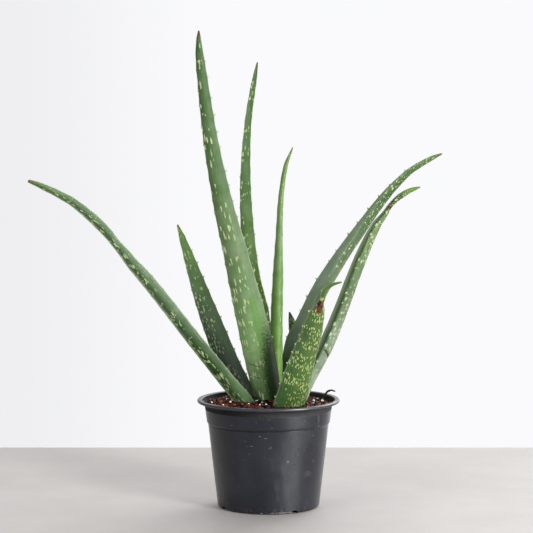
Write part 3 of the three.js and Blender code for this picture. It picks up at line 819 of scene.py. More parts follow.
def leafMesh(name, leaf):
    s = leafShape
    length = routeLength(leaf["route"])
    rings = int(length / s["ringSpacing"])
    distances = np.linspace(0, length, rings)
    middle, along, across, outwards, width = leafFrames(leaf, distances)
    half, m = width / 2, s["marginHalfThickness"]
    setback = leaf["bulge"] * width / 2
    blade = np.maximum(leaf["thickness"] * width, s["thinnestBlade"])
    thin = np.clip(width / 8, 0.35, 1)  # the blunt margin gets thinner near the tip
    outerU = np.sin(np.linspace(-math.pi / 2, math.pi / 2, s["outerSteps"] + 1))
    innerU = -np.sin(np.linspace(-math.pi / 2, math.pi / 2, s["innerSteps"] + 1))
    sway = {}
    for side in (-1, 1):
        gap = np.min(np.abs(distances[:, None] - toothDistances(leaf, side)[None, :]), axis=1)
        pitch = length * 0.9 / leaf["teeth"]
        sway[side] = s["marginWave"] * thin * (np.cos(np.clip(gap / pitch, 0, 0.5) * 2 * math.pi) - 1) / 2
    columns, places = [], []

    def addColumn(u, height, inner, stretch=0.0):
        side = np.where(u < 0, sway[-1], sway[1]) * abs(u) ** 6
        reach = u * half + np.sign(u) * (side + stretch)
        columns.append(middle + across * reach[:, None] + outwards * height[:, None])
        places.append(np.stack([u * half, distances, np.full(rings, float(inner))], 1))

    def swell(u, seed):
        wave = waves(seed, distances, u * half + 0 * distances, s["swellingLength"])
        return s["swelling"] * thin * wave * (1 - u**6)

    def addMargin(side, top, innerAfter):
        for i in range(1, s["marginSteps"] + 1):
            angle = math.pi * i / (s["marginSteps"] + 1)
            inner = (i > s["marginSteps"] / 2) == innerAfter
            addColumn(side, top * m * np.cos(angle) - setback, inner, s["marginBulge"] * math.sin(angle))

    for u in outerU:
        dome = leaf["bulge"] * width * max(1 - u * u, 0) ** s["outerRoundness"]
        sunk = scarDepth(leaf, u * half, distances) * (1 - u**6)
        addColumn(u, m - setback + dome + swell(u, leaf["seed"]) - sunk, 0)
    addMargin(1.0, 1, True)
    channel = leaf["bulge"] * width + 2 * m - blade
    for u in innerU:
        addColumn(u, -m - setback + channel * (1 - u * u) + swell(u, leaf["seed"] + 50) * 0.7, 1)
    addMargin(-1.0, -1, False)

    corners = len(columns)
    points = np.stack(columns, 1).reshape(-1, 3)
    place = np.stack(places, 1).reshape(-1, 3)
    share = place[:, 0] / np.maximum(np.repeat(half, corners), 1e-6)
    tip = points[-corners:].mean(0) + along[-1] * 0.25
    root = points[:corners].mean(0)
    mesh = meshFrom(name, np.concatenate([points, [root, tip]]) * mm, tubeFaces(rings, corners))
    ends = [[0, 0, 1], [0, length * mm, 0]]
    keepNumbers(mesh, "leafPlace", "FLOAT_VECTOR", np.concatenate([place * (mm, mm, 1), ends]))
    keepNumbers(mesh, "acrossShare", "FLOAT", np.concatenate([share * 0.5 + 0.5, [0.5, 0.5]]))
    keepNumbers(mesh, "alongShare", "FLOAT", np.concatenate([np.repeat(distances / length, corners), [0, 1]]))
    keepNumbers(mesh, "innerFace", "FLOAT", np.concatenate([place[:, 2], [1, 0]]))
    return mesh


def scarAndShadingMask(place, scarAndShading):
    # 1 within a patch, with a ragged edge: a scar, a crease, a patch of painted shade or a painted lit strip
    parts = split(place)
    across = less(parts[0], scarAndShading["across"] * mm)
    along = timesPlus(across, -scarAndShading["slope"], less(parts[1], scarAndShading["along"] * mm))
    ragged = less(noise(place, 380.0, 3.0), 0.5)
    distance = ovalDistance(across, along, scarAndShading["halfWide"], scarAndShading["halfLong"])
    return rise(timesPlus(ragged, scarAndShading["ragged"] * 2, distance), 0.7, 1.15, scarAndShading["strength"], 0.0)


def toneAndShadeColour(leaf, toneAndShade):
    # given as a lightness, which paints shade and is greener where it is darker, or as a colour of its own
    red, green, blue = toneAndShade if isinstance(toneAndShade, tuple) else (toneAndShade**power for power in leaf["shadeTint"])
    return srgb(red * 255, green * 255, blue * 255)


skinLook = {
    "deeper": (0.6, 0.74, 0.5, 1),  # what the mottling, lines and bands multiply the green by
    "bloom": (146, 166, 146),
    "margin": (166, 180, 148),
    "lineWidth": 1.1,
    "roughness": 0.42,
    "specular": 0.17,
    "softness": 0.05,
}


def leafMaterial(name, leaf):
    s = skinLook
    material, tree, shader = newMaterial(name + "_skin")
    place = attribute(tree, "leafPlace", "Vector")
    acrossShare, alongShare = attribute(tree, "acrossShare"), attribute(tree, "alongShare")
    inner = attribute(tree, "innerFace")
    faces = []
    # each face's colour along the leaf, times its lightness across it, which paints shade
    for face, key in (("outer", "toneAndShade"), ("inner", "innerToneAndShade")):
        plain = ramp(alongShare, [(at, srgb(*c)) for at, c in leaf[face]])
        tonesAndShade = ramp(acrossShare, [(at, toneAndShadeColour(leaf, toneAndShade)) for at, toneAndShade in leaf.get(key, leaf["toneAndShade"])])
        faces.append(mixColour(1.0, plain, tonesAndShade, "MULTIPLY"))
    colour = mixColour(inner, *faces)
    streaks = placeGroup(streakGroup, {"Place": place, "Line Width": s["lineWidth"] * mm})
    lines, mottle, fleckColour = streaks["Lines"], streaks["Mottle"], srgb(*leaf["fleck"])
    deeper = mixColour(1.0, colour, s["deeper"], "MULTIPLY")
    colour = mixColour(rise(mottle, 0.38, 0.64, 0.0, 0.6), colour, deeper)
    colour = mixColour(rise(lines, 0.5, 0.75, 0.0, leaf["paleLines"]), colour, fleckColour)
    colour = mixColour(rise(lines, 0.3, 0.5, leaf["darkLines"], 0.0), colour, deeper)
    bloom = noise(place, 30.0, 5.0, 0.65)
    colour = mixColour(rise(bloom, 0.42, 0.72, 0.0, leaf["bloom"]), colour, srgb(*s["bloom"]))
    marked = placeGroup(fleckGroup, {
        "Place": place, "Across Size": leaf["acrossSize"] * mm, "Along Size": leaf["alongSize"] * mm,
        "Fleck Size": leaf["fleckSize"], "Cover": leaf["cover"], "Band Length": leaf["bandLength"] * mm,
        "Banding": leaf["banding"], "Seed": float(leaf["seed"]),
    })
    away = calc("ABSOLUTE", less(acrossShare, leaf["fleckCentre"]))
    near = rise(away, leaf["fleckSpread"], leaf["fleckSpread"] + 0.16, 1.0, 0.0)
    near = times(near, rise(inner, 0.3, 0.7, 1.0, leaf["innerFlecks"]))
    near = times(near, rise(alongShare, leaf["fleckEnd"], leaf["fleckEnd"] + 0.05, 1.0, 0.0))
    flecks = times(marked["Mask"], near)
    colour = mixColour(times(times(marked["Band"], near), 0.45), colour, deeper)
    colour = mixColour(flecks, colour, fleckColour)
    middleAway = calc("ABSOLUTE", less(acrossShare, 0.5))
    colour = mixColour(rise(middleAway, 0.482, 0.498, 0.0, leaf["paleMargin"]), colour, srgb(*s["margin"]))
    patches = rise(noise(place, 520.0, 3.0), 0.42, 0.6)
    # scars and creases, and patches of painted shade and painted light
    for scarAndShading in leaf["scarsAndShading"]:
        scarAndShading = {**scarAndShadingDefaults, **scarAndShading}
        patch = srgb(*(c * scarAndShading["patch"] for c in scarAndShading["colour"]))
        colour = mixColour(scarAndShadingMask(place, scarAndShading), colour, mixColour(patches, srgb(*scarAndShading["colour"]), patch))
    tipMask = rise(alongShare, leaf["tipShare"] - 0.02, leaf["tipShare"] + 0.006)
    feed(shader, "Base Color", mixColour(tipMask, colour, srgb(*leaf["tip"])))
    feed(shader, "Roughness", timesPlus(flecks, 0.08, timesPlus(mottle, 0.3, s["roughness"])))
    feed(shader, "Specular IOR Level", s["specular"])
    feed(shader, "Subsurface Weight", s["softness"])
    feed(shader, "Subsurface Radius", (0.5, 1.0, 0.25))
    feed(shader, "Subsurface Scale", 0.002)
    bumped(shader, timesPlus(flecks, 0.5, times(lines, 0.6)), 0.35, 0.0004)
    return material


# Teeth on the leaves' margins


def makeToothTree():
    tree, given, leave = newGroup(
        "marginTeeth",
        {
            "Geometry": "Geometry", "Length": 0.0034, "Root Length": 0.0015, "Root Thickness": 0.0006,
            "Hook": 0.0006, "Size Spread": 0.15, "Seed": 1, "Material": "Material",
        },
        {"Geometry": "Geometry"},
        "GeometryNodeTree",
    )
    inputs = {"Vertices": 8, "Side Segments": 4, "Radius Top": 0.05, "Radius Bottom": 1.0, "Depth": 1.0}
    cone = addNode(tree, "GeometryNodeMeshCone", inputs).outputs["Mesh"]
    height = split(addNode(tree, "GeometryNodeInputPosition").outputs[0])[2]
    size = joined(given["Root Length"], given["Root Thickness"], given["Length"])
    inputs = {"Geometry": storedOn(cone, "toothShare", height, "POINT"), "Scale": size}
    shaped = nodeAfter("GeometryNodeTransform", inputs).outputs["Geometry"]
    share = stored(tree, "toothShare")
    hooked = moved(shaped, joined(times(times(share, share), given["Hook"])))
    spread = given["Size Spread"]
    chance = randomNumber(less(1.0, spread), plus(1.0, spread), given["Seed"])
    scale = times(stored(tree, "toothSize"), chance)
    placed = copiedTo(pointsOf(given["Geometry"]), hooked, stored(tree, "toothTurn", "FLOAT_VECTOR"), scale)
    smooth = nodeAfter("GeometryNodeSetShadeSmooth", {"Geometry": realized(placed)}).outputs["Geometry"]
    feed(leave, "Geometry", dressed(smooth, given["Material"]))
    return tree


def toothMaterial(name, rootColour, pointColour):
    material, tree, shader = newMaterial(name)
    mottle = noise(objectPlace(tree), 900.0, 3.0)
    share = timesPlus(less(mottle, 0.5), 0.3, attribute(tree, "toothShare"))
    stops = [(0.3, srgb(*rootColour)), (0.75, srgb(*pointColour)), (1.0, srgb(150, 96, 58))]
    feed(shader, "Base Color", ramp(share, stops))
    feed(shader, "Roughness", rise(mottle, 0.3, 0.7, 0.35, 0.5))
    return material


def teethMesh(name, leaf):
    # one point for each tooth, at its root, with its turn and size
    s = toothShape
    feet, turns, sizes = [], [], []
    for side, tipBack in zip((-1, 1), leaf["tipBack"]):
        distances = toothDistances(leaf, side)
        middle, along, across, outwards, width = leafFrames(leaf, distances)
        pointing = unit(across * side + along * s["lean"] - outwards * tipBack)
        flat = unit(outwards - pointing * np.sum(outwards * pointing, axis=1)[:, None])
        towardsTip = np.cross(flat, pointing)
        towardsTip *= np.sign(np.sum(towardsTip * along, axis=1))[:, None]
        size = np.clip(width / 14, 0.6, 1) * leaf["toothScale"]
        foot = middle + across * (side * width / 2)[:, None] - outwards * (leaf["bulge"] * width / 2)[:, None]
        feet.append(foot - pointing * (size * s["sunk"])[:, None])
        for ahead, up in zip(towardsTip, pointing):
            turns.append(Matrix(np.stack([ahead, np.cross(up, ahead), up], 1).tolist()).to_euler())
        sizes.append(size)
    mesh = meshFrom(name, np.concatenate(feet) * mm, [], smooth=False)
    keepNumbers(mesh, "toothTurn", "FLOAT_VECTOR", np.array(turns))
    keepNumbers(mesh, "toothSize", "FLOAT", np.concatenate(sizes))
    return mesh


def makeLeaves():
    toothTree = makeToothTree()
    looks = {
        "pale": toothMaterial("paleTooth", (150, 174, 120), (206, 210, 168)),
        # the green teeth are darker: partly the teeth's own colour, partly painted shade on the teeth of
        # leaves that stand in shade
        "green": toothMaterial("greenAndShadedTooth", (92, 120, 78), (134, 154, 106)),
    }
    for name, leaf in leafSettings.items():
        pieceFrom(name + "_blade", leafMesh(name + "_blade", leaf), leafMaterial(name, leaf), [name])
        teeth = newObject(name + "_teeth", teethMesh(name + "_teeth", leaf))
        settle(teeth, toothTree, {
            "Length": toothShape["length"] * mm, "Root Length": toothShape["rootLength"] * mm,
            "Root Thickness": toothShape["rootThickness"] * mm, "Seed": leaf["seed"],
            "Material": looks[leaf["toothColour"]],
        })
        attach(teeth, "root")
        print(name, "made:", len(teeth.data.polygons), "faces of teeth")


makeLeaves()

# Pot

potShape = {
    "rimRadius": 82.5,
    "height": 125,
    "baseRadius": 59.2,
    "footRound": 3.2,
    "stepRadius": 69.8,
    "stepHeight": 98,
    "stepRise": 0.7,
    "bandBottom": 71.3,
    "bandTop": 73.1,
    "bandTopHeight": 112.5,
    "lipUnderside": [(0.3, 2.4), (0.8, 5.0), (1.6, 6.8), (2.9, 7.9), (4.9, 8.5)],  # out and up from the band
    "lipEdgeRound": 1.8,
    "lipInsideRound": 1.3,
    "lipInside": [(6.2, 3.3), (7.6, 5.6), (9.2, 8.6)],  # in and down from the rim
    "wall": 1.2,
    "floor": 1.6,
    "floorCorner": 3,
    "drainHalfWidth": 5.5,
    "drainReach": 9,
    "drainHeight": 3.9,
    "drainAngles": (-60, 30, 120, 210),
    "sides": 240,
    "wobble": 0.16,
}


def potInside(height):
    s = potShape
    if height < s["stepHeight"]:
        return s["baseRadius"] + (s["stepRadius"] - s["baseRadius"]) * height / s["stepHeight"] - s["wall"]
    share = (height - s["stepHeight"]) / (s["bandTopHeight"] - s["stepHeight"])
    return s["bandBottom"] + (s["bandTop"] - s["bandBottom"]) * share - s["wall"]


def arc(radius, height, size, start, end, steps):
    angles = np.radians(np.linspace(start, end, steps + 1))
    return [(radius + size * math.cos(a), height + size * math.sin(a)) for a in angles]


def straight(start, end, steps):
    return [tuple(p) for p in np.linspace(start, end, steps + 1)[1:-1]]


def turned(name, profile, sides, unevenness):
    # a closed turned body; profile is radius and height, from the axis round to the axis again
    angles = np.linspace(0, 2 * math.pi, sides, endpoint=False)
    points, rows = [], []
    for radius, height in profile:
        if radius < 1e-6:
            rows.append([len(points)])
            points.append((0, 0, height))
            continue
        rows.append(list(range(len(points), len(points) + sides)))
        for a in angles:
            r, z = unevenness(radius, height, a)
            points.append((r * math.cos(a), r * math.sin(a), z))
    faces = []
    for low, high in zip(rows, rows[1:]):
        for i in range(sides):
            j = (i + 1) % sides
            if len(low) == 1:
                faces.append((low[0], high[j], high[i]))
            elif len(high) == 1:
                faces.append((low[i], low[j], high[0]))
            else:
                faces.append((low[i], low[j], high[j], high[i]))
    return meshFrom(name, np.array(points) * mm, faces)


def potProfile():
    s = potShape
    rim, top, base, step, floor = s["rimRadius"], s["height"], s["baseRadius"], s["stepRadius"], s["floor"]
    stepLow, stepHigh = s["stepHeight"] - s["stepRise"], s["stepHeight"] + s["stepRise"]
    foot = arc(base - s["footRound"], s["footRound"], s["footRound"], -90, -5, 9)
    under = (step, stepLow - 1.2)
    bandLow = (s["bandBottom"], stepHigh + 0.3)
    bandHigh = (s["bandTop"], s["bandTopHeight"])
    edge, inside = s["lipEdgeRound"], s["lipInsideRound"]
    return [
        (0, 0), (base * 0.5, 0), *foot, *straight(foot[-1], under, 26), under,
        (step - 0.35, stepLow - 0.7), (step - 0.3, stepLow - 0.2), (step + 0.4, stepLow + 0.25),
        (s["bandBottom"] - 0.25, stepHigh - 0.25), bandLow, *straight(bandLow, bandHigh, 8), bandHigh,
        *((bandHigh[0] + out, bandHigh[1] + up) for out, up in s["lipUnderside"]),
        *arc(rim - edge, top - edge, edge, -82, 90, 14), (rim - 3.2, top - 0.1),
        *arc(rim - 4.6, top - 1.5, inside, 84, 172, 6),
        *((rim - back, top - down) for back, down in s["lipInside"]),
        *((potInside(z), z) for z in (bandHigh[1] + 1, stepHigh, stepLow, floor + s["floorCorner"])),
        (potInside(floor) - s["floorCorner"], floor), (20, floor), (0, floor),
    ]


def drainCutter():
    s = potShape
    builder = bmesh.new()
    radius = s["drainHalfWidth"] * mm
    flat = Matrix.Diagonal((1, 1, s["drainHeight"] / s["drainHalfWidth"], 1))
    lying = Matrix.Rotation(math.pi / 2, 4, "Y")
    for degrees in s["drainAngles"]:
        a = math.radians(degrees)
        foot = s["baseRadius"] * mm
        place = Matrix.Translation((foot * math.cos(a), foot * math.sin(a), 0))
        bmesh.ops.create_cone(
            builder, cap_ends=True, segments=48, radius1=radius, radius2=radius,
            depth=2 * s["drainReach"] * mm, matrix=place @ flat @ Matrix.Rotation(a, 4, "Z") @ lying,
        )
    return newObject("drain_cut", meshOf("drain_cut", builder))


def makePot():
    s = potShape

    def unevenness(radius, height, angle):
        # moulded walls are never quite round
        share = min(height / s["height"], 1)
        wave = math.sin(2 * angle + 0.6) + 0.6 * math.sin(3 * angle + 2.1 + height * 0.02)
        push = s["wobble"] * share * wave
        if radius > s["rimRadius"] - 0.6:
            push = min(push, 0.05)
        lift = 0.18 * max(height - 120, 0) / 5 * math.sin(3 * angle + 0.9)
        return radius + push, height + min(lift, 0)

    pot = newObject("pot_shell", turned("pot_shell", potProfile(), s["sides"], unevenness))
    cutter = drainCutter()
    cut = pot.modifiers.new("drains", "BOOLEAN")
    cut.operation, cut.solver, cut.object = "DIFFERENCE", "EXACT", cutter
    result = plainMesh(pot)
    pot.modifiers.clear()
    bpy.data.objects.remove(cutter)
    result.set_sharp_from_angle(angle=math.radians(38))
    result.materials.clear()
    result.materials.append(potMaterial())
    pot.data = result
    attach(pot, "root")
    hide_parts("pot")
    print("pot made:", len(result.polygons), "faces")


potLook = {
    "plastic": (28, 31, 41),
    "dustyAndLit": (53, 55, 65),
    "leftSideShade": (13, 14, 19),
    "shaded": (5, 5, 7),
    "lipHighlight": (70, 72, 80),
    "stainAndHighlight": (142, 138, 134),
    "rust": (104, 68, 54),
    "roughness": 0.27,
    "footDirtHeight": (3, 11),
    "lipDustHeight": (110, 120),
    "lipHighlightHeight": (121, 122.5),
    "underLipLightFrom": (114.5, 117.5),
    "underLipLightTo": (120.6, 121.2),
    "insideRadius": (76.2, 77.4),
    "insideHeight": (113, 114.5),
    # x, z, half width, half height and strength
    "smudgesAndHighlights": [
        (-10, 91.5, 1.1, 0.8, 0.6), (-3, 89.5, 2.6, 0.5, 0.5), (-1, 96, 1.0, 0.5, 0.35),
        (-19.8, 80, 2.2, 0.5, 0.45),
        (19.5, 116.5, 2.6, 0.5, 0.7), (41.5, 116.8, 1.2, 0.9, 0.7), (55, 115, 5, 2, 0.2),
        (57, 107, 1.2, 6, 0.16),
        # the two entries low on the foot, at z 1.8 and 1.9, are painted highlights: a glint, and a light line
        # along the foot's bevel
        (56.5, 100, 1.0, 1.2, 0.4), (45, 45, 4, 4, 0.12), (-8, 1.8, 1.1, 0.7, 1.0),
        (13, 1.9, 14, 0.7, 0.95),
    ],
}


def potMaterial():
    s = potLook
    material, tree, shader = newMaterial("mouldedPlastic")
    place = objectPlace(tree)
    x, y, z = split(place)
    keys = ("plastic", "dustyAndLit", "leftSideShade", "shaded", "lipHighlight", "stainAndHighlight", "rust")
    colours = {key: srgb(*s[key]) for key in keys}

    def above(heights):
        return rise(z, heights[0] * mm, heights[1] * mm)

    def below(value, limits):
        return rise(value, limits[0] * mm, limits[1] * mm, 1.0, 0.0)

    cloud = noise(place, 24.0, 4.0, 0.6)
    colour = mixColour(rise(cloud, 0.35, 0.8, 0.0, 0.5), colours["plastic"], colours["dustyAndLit"])
    # painted shade: the plastic is darker on its left side, away from the light
    clearOfLeftShade = rise(timesPlus(cloud, 0.02, x), -0.058, -0.012)
    colour = mixColour(clearOfLeftShade, colours["leftSideShade"], colour)
    rings = noise(calcVector("MULTIPLY", place, (0.1, 0.1, 1.0)), 300.0, 4.0, 0.6)
    smears = noise(calcVector("MULTIPLY", place, (1.0, 1.0, 0.3)), 90.0, 5.0, 0.7)
    rubbed = times(rise(smears, 0.52, 0.74), rise(cloud, 0.42, 0.6))
    colour = mixColour(times(rubbed, 0.55), colour, colours["dustyAndLit"])
    drops = placeGroup(speckGroup, {"Place": place, "Speck Size": 0.005, "Cover": 0.03})["Mask"]
    grit = placeGroup(speckGroup, {"Place": place, "Speck Size": 0.0016, "Cover": 0.02})["Mask"]
    drops = times(drops, rise(noise(place, 700.0, 3.0), 0.42, 0.6))
    marksAndHighlights = calc("MAXIMUM", times(drops, 0.5), times(grit, 0.45))
    front = calc("LESS_THAN", y, 0.0)
    ragged = less(noise(place, 420.0, 4.0), 0.5)
    # pale spots and stains, with the two painted highlights on the foot
    for markX, markZ, halfWide, halfHigh, strength in s["smudgesAndHighlights"]:
        away = ovalDistance(less(x, markX * mm), less(z, markZ * mm), halfWide, halfHigh)
        smudgeAndHighlight = rise(timesPlus(ragged, 3.0, away), 0.5, 1.1, strength, 0.0)
        marksAndHighlights = calc("MAXIMUM", marksAndHighlights, times(smudgeAndHighlight, front))
    colour = mixColour(marksAndHighlights, colour, colours["stainAndHighlight"])
    footDirt = times(below(z, s["footDirtHeight"]), rise(noise(place, 230.0, 5.0, 0.7), 0.56, 0.68))
    colour = mixColour(times(footDirt, 0.6), colour, colours["rust"])
    lipDust = times(above(s["lipDustHeight"]), rise(noise(place, 210.0, 5.0, 0.7), 0.55, 0.7))
    colour = mixColour(times(lipDust, 0.4), colour, colours["stainAndHighlight"])
    # painted highlight: the top of the lip is lighter
    colour = mixColour(times(above(s["lipHighlightHeight"]), 0.6), colour, colours["lipHighlight"])
    # painted light: the band just under the lip is lighter, against the shadow the lip casts there
    underLipLight = times(above(s["underLipLightFrom"]), below(z, s["underLipLightTo"]))
    colour = mixColour(times(underLipLight, 0.6), colour, colours["dustyAndLit"])
    radius = calc("SQRT", timesPlus(x, x, times(y, y)))
    inside = times(below(radius, s["insideRadius"]), above(s["insideHeight"]))
    feed(shader, "Base Color", mixColour(times(inside, 0.97), colour, colours["shaded"]))
    rough = timesPlus(rubbed, 0.16, timesPlus(cloud, 0.16, s["roughness"] - 0.06))
    rough = timesPlus(inside, 0.5, plus(rough, rise(z, 0.115, 0.12, 0.0, 0.04)))
    dust = calc("MAXIMUM", calc("MAXIMUM", marksAndHighlights, lipDust), footDirt)
    feed(shader, "Roughness", timesPlus(dust, 0.4, rough, clamp=True))
    relief = timesPlus(rings, 0.5, times(noise(place, 60.0, 2.0), 0.8))
    bumped(shader, plus(relief, times(marksAndHighlights, 0.6)), 0.4, 0.0004)
    return material


makePot()

# Soil with its bark chips, grit and perlite

soilShape = {
    "edgeHeight": 117,
    "mound": 3.8,
    "relief": 0.9,
    "gap": 0.3,
    "rings": 46,
    "sides": 160,
    "seed": 11,
    "perliteCount": 42,
}

# what each kind of crumb is made with; the sizes are in metres, and the density counts each square metre
crumbSettings = {
    "soil_chips": {
        "Density": 95000.0, "Smallest": 0.0024, "Largest": 0.0062, "Flatness": 0.5, "Stretch": 1.8,
        "Roughness": 0.42, "Tilt": 1.0, "Lift": 0.0032, "Seed": 3,
    },
    "soil_grit": {
        "Density": 170000.0, "Smallest": 0.0006, "Largest": 0.0017, "Flatness": 0.7, "Stretch": 1.6,
        "Roughness": 0.4, "Tilt": 1.2, "Lift": 0.0022, "Seed": 8,
    },
}
perliteSettings = {
    "Smallest": 0.0019, "Largest": 0.0036, "Flatness": 0.85, "Stretch": 1.5, "Roughness": 0.22, "Seed": 4,
}


def soilHeight(x, y):
    s = soilShape
    inside = potInside(s["edgeHeight"])
    base = s["edgeHeight"] + s["mound"] * (1 - np.clip((x * x + y * y) / inside**2, 0, 1))
    return base + s["relief"] * (0.6 * waves(31, x, y, 22) + 0.4 * waves(32, x, y, 7)) - 0.6


def soilMesh():
    s = soilShape
    floor, corner, gap = potShape["floor"], potShape["floorCorner"], s["gap"]
    low, high = potShape["stepHeight"] - potShape["stepRise"], potShape["stepHeight"] + potShape["stepRise"]
    top = potInside(s["edgeHeight"]) - gap
    surface = [(top * (1 - i / s["rings"]), s["edgeHeight"]) for i in range(1, s["rings"] + 1)]
    profile = [
        (0, floor + gap),
        (potInside(floor) - corner - gap, floor + gap),
        (potInside(floor + corner) - gap, floor + corner + gap),
        (potInside(low) - gap, low),
        (potInside(high) - gap, high + gap),
        (top, s["edgeHeight"] - 3),
        *surface,
    ]

    def unevenness(radius, height, angle):
        if height < s["edgeHeight"] - 0.01:
            return radius, height
        return radius, float(soilHeight(radius * math.cos(angle), radius * math.sin(angle)))

    mesh = turned("soil_bed", profile, s["sides"], unevenness)
    mesh.vertices[len(mesh.vertices) - 1].co.z = float(soilHeight(0.0, 0.0)) * mm
    return mesh


def footprints():
    # where the leaves stand in the soil: a centre, two directions and two half sizes for each
    found = []
    for leaf in leafSettings.values():
        distances = np.linspace(0, 60, 121)
        middle, along, across, outwards, width = leafFrames(leaf, distances)
        i = int(np.argmin(np.abs(middle[:, 2] - 119)))
        deep = np.cross(across[i], (0, 0, 1))
        found.append((middle[i], across[i], deep, width[i] / 2, width[i] * leaf["bulge"] * 0.8))
    return found


def roomMesh():
    # the soil's open surface as a grid, whose roomForCrumbs is 0 under a leaf and 1 in the open
    s = soilShape
    reach, steps = potInside(s["edgeHeight"]) - 1.5, 90
    ticks = np.linspace(-reach, reach, steps)
    x, y = np.meshgrid(ticks, ticks)
    points = np.stack([x, y, soilHeight(x, y)], -1).reshape(-1, 3)
    faces = []
    for i in range(steps - 1):
        for j in range(steps - 1):
            a = i * steps + j
            if max(np.hypot(*points[k][:2]) for k in (a, a + 1, a + steps, a + steps + 1)) < reach:
                faces.append((a, a + 1, a + steps + 1, a + steps))
    room = np.ones(len(points))
    for centre, across, deep, halfWidth, halfDeep in footprints():
        offset = points - centre
        u = offset @ across / (halfWidth + 0.5)
        v = offset @ (deep / np.linalg.norm(deep)) / (halfDeep + 1.5)
        room = np.minimum(room, np.clip((np.hypot(u, v) - 0.9) * 8, 0, 1))
    mesh = meshFrom("soil_room", points * mm, faces, smooth=False)
    keepNumbers(mesh, "roomForCrumbs", "FLOAT", room)
    return mesh


# what every tree of grains lets its user choose
grainInputs = {
    "Smallest": 0.001, "Largest": 0.003, "Flatness": 0.5, "Stretch": 1.6, "Roughness": 0.4, "Tilt": 0.7,
    "Seed": 1, "Material": "Material",
}


def makeGrainTree():
    # one rough grain, a squashed ball whose faces are pushed about, on each of the given points
    tree, given, leave = newGroup(
        "grainsOnPoints", {"Points": "Geometry", **grainInputs}, {"Geometry": "Geometry"}, "GeometryNodeTree"
    )

    def chance(low, high, seedShift):
        return randomNumber(low, high, plus(given["Seed"], seedShift))

    inputs = {"Segments": 7, "Rings": 4, "Radius": 0.5}
    ball = addNode(tree, "GeometryNodeMeshUVSphere", inputs).outputs["Mesh"]
    tilt, tiltBack = given["Tilt"], times(given["Tilt"], -1.0)
    turn = joined(chance(tiltBack, tilt, 1), chance(tiltBack, tilt, 2), chance(0.0, 6.283, 3))
    size = chance(given["Smallest"], given["Largest"], 4)
    scale = joined(times(size, chance(1.0, given["Stretch"], 5)), size, times(size, given["Flatness"]))
    placed = copiedTo(given["Points"], ball, turn, scale)
    placed = storedOn(placed, "grainTint", chance(0.0, 1.0, 6), "INSTANCE")
    placed = storedOn(placed, "grainSize", size, "INSTANCE")
    position = addNode(tree, "GeometryNodeInputPosition").outputs[0]
    inputs = {"Vector": position, "Scale": 620.0, "Detail": 1.0}
    rough = nodeAfter("ShaderNodeTexNoise", inputs).outputs["Color"]
    reach = times(stored(tree, "grainSize"), times(given["Roughness"], 2.0))
    inputs = {0: calcVector("SUBTRACT", rough, (0.5, 0.5, 0.5)), "Scale": reach}
    push = nodeAfter("ShaderNodeVectorMath", inputs, operation="SCALE").outputs[0]
    feed(leave, "Geometry", dressed(moved(realized(placed), push), given["Material"]))
    return tree


def placeGrains(points, grainTree, given):
    chosen = {name: given[name] for name in grainInputs}
    return nodeAfter("GeometryNodeGroup", {"Points": points, **chosen}, node_tree=grainTree).outputs[0]


def makeScatterTree(grainTree):
    # grains strewn over the soil's open surface
    inputs = {"Geometry": "Geometry", "Density": 100000.0, "Lift": 0.001, **grainInputs}
    tree, given, leave = newGroup("grainsOnSoil", inputs, {"Geometry": "Geometry"}, "GeometryNodeTree")
    density = times(stored(tree, "roomForCrumbs"), given["Density"])
    inputs = {"Mesh": given["Geometry"], "Density": density, "Seed": given["Seed"]}
    strewn = nodeAfter("GeometryNodeDistributePointsOnFaces", inputs, distribute_method="RANDOM")
    lift = randomNumber(0.0, given["Lift"], given["Seed"])
    raised = moved(strewn.outputs["Points"], joined(0.0, 0.0, lift))
    feed(leave, "Geometry", placeGrains(raised, grainTree, given))
    return tree


def makePerliteTree(grainTree):
    # grains on the points of a mesh
    inputs = {"Geometry": "Geometry", **grainInputs}
    tree, given, leave = newGroup("perliteOnPoints", inputs, {"Geometry": "Geometry"}, "GeometryNodeTree")
    feed(leave, "Geometry", placeGrains(pointsOf(given["Geometry"]), grainTree, given))
    return tree


def barkMaterial(name, darker, fibreScale, roughness=0.85, usesTint=True):
    material, tree, shader = newMaterial(name)
    place = objectPlace(tree)
    tint = attribute(tree, "grainTint") if usesTint else noise(place, 160.0, 4.0, 0.6)
    tint = timesPlus(calc("POWER", tint, 1.5), 1.05, 0.04 - darker)
    bark = placeGroup(barkGroup, {"Place": place, "Tint": tint, "Fibre Scale": fibreScale})
    feed(shader, "Base Color", bark["Colour"])
    feed(shader, "Roughness", rise(bark["Height"], 0.3, 0.7, roughness, roughness - 0.2))
    feed(shader, "Specular IOR Level", 0.25)
    bumped(shader, bark["Height"], 0.6, 0.0005)
    return material


def perliteMaterial():
    material, tree, shader = newMaterial("perliteGrain")
    pores = noise(objectPlace(tree), 1500.0, 4.0, 0.6)
    colour = mixColour(rise(pores, 0.35, 0.6, 0.6, 0.0), srgb(248, 246, 242), srgb(200, 190, 176))
    stained = rise(attribute(tree, "grainTint"), 0.6, 1.0, 0.0, 0.35)
    feed(shader, "Base Color", mixColour(stained, colour, srgb(176, 150, 124)))
    feed(shader, "Roughness", rise(pores, 0.3, 0.7, 0.9, 0.7))
    bumped(shader, pores, 0.5, 0.0003)
    return material


# perlite that the photograph shows: x, y and size; the rest is strewn by the seed
perliteSeen = [
    (-22.6, -32, 4.6), (-7, -22, 2.7), (-13, -12, 2.2), (-2.5, -33, 2.4), (-36, 2, 3.6), (-44, -10, 2.0),
    (52.5, 6, 3.0), (52, -14, 2.4), (45, -42, 2.6), (-31, -22, 2.6), (-52, -26, 2.2),
    (-9, -36, 1.9), (-48, 14, 2.4),
]


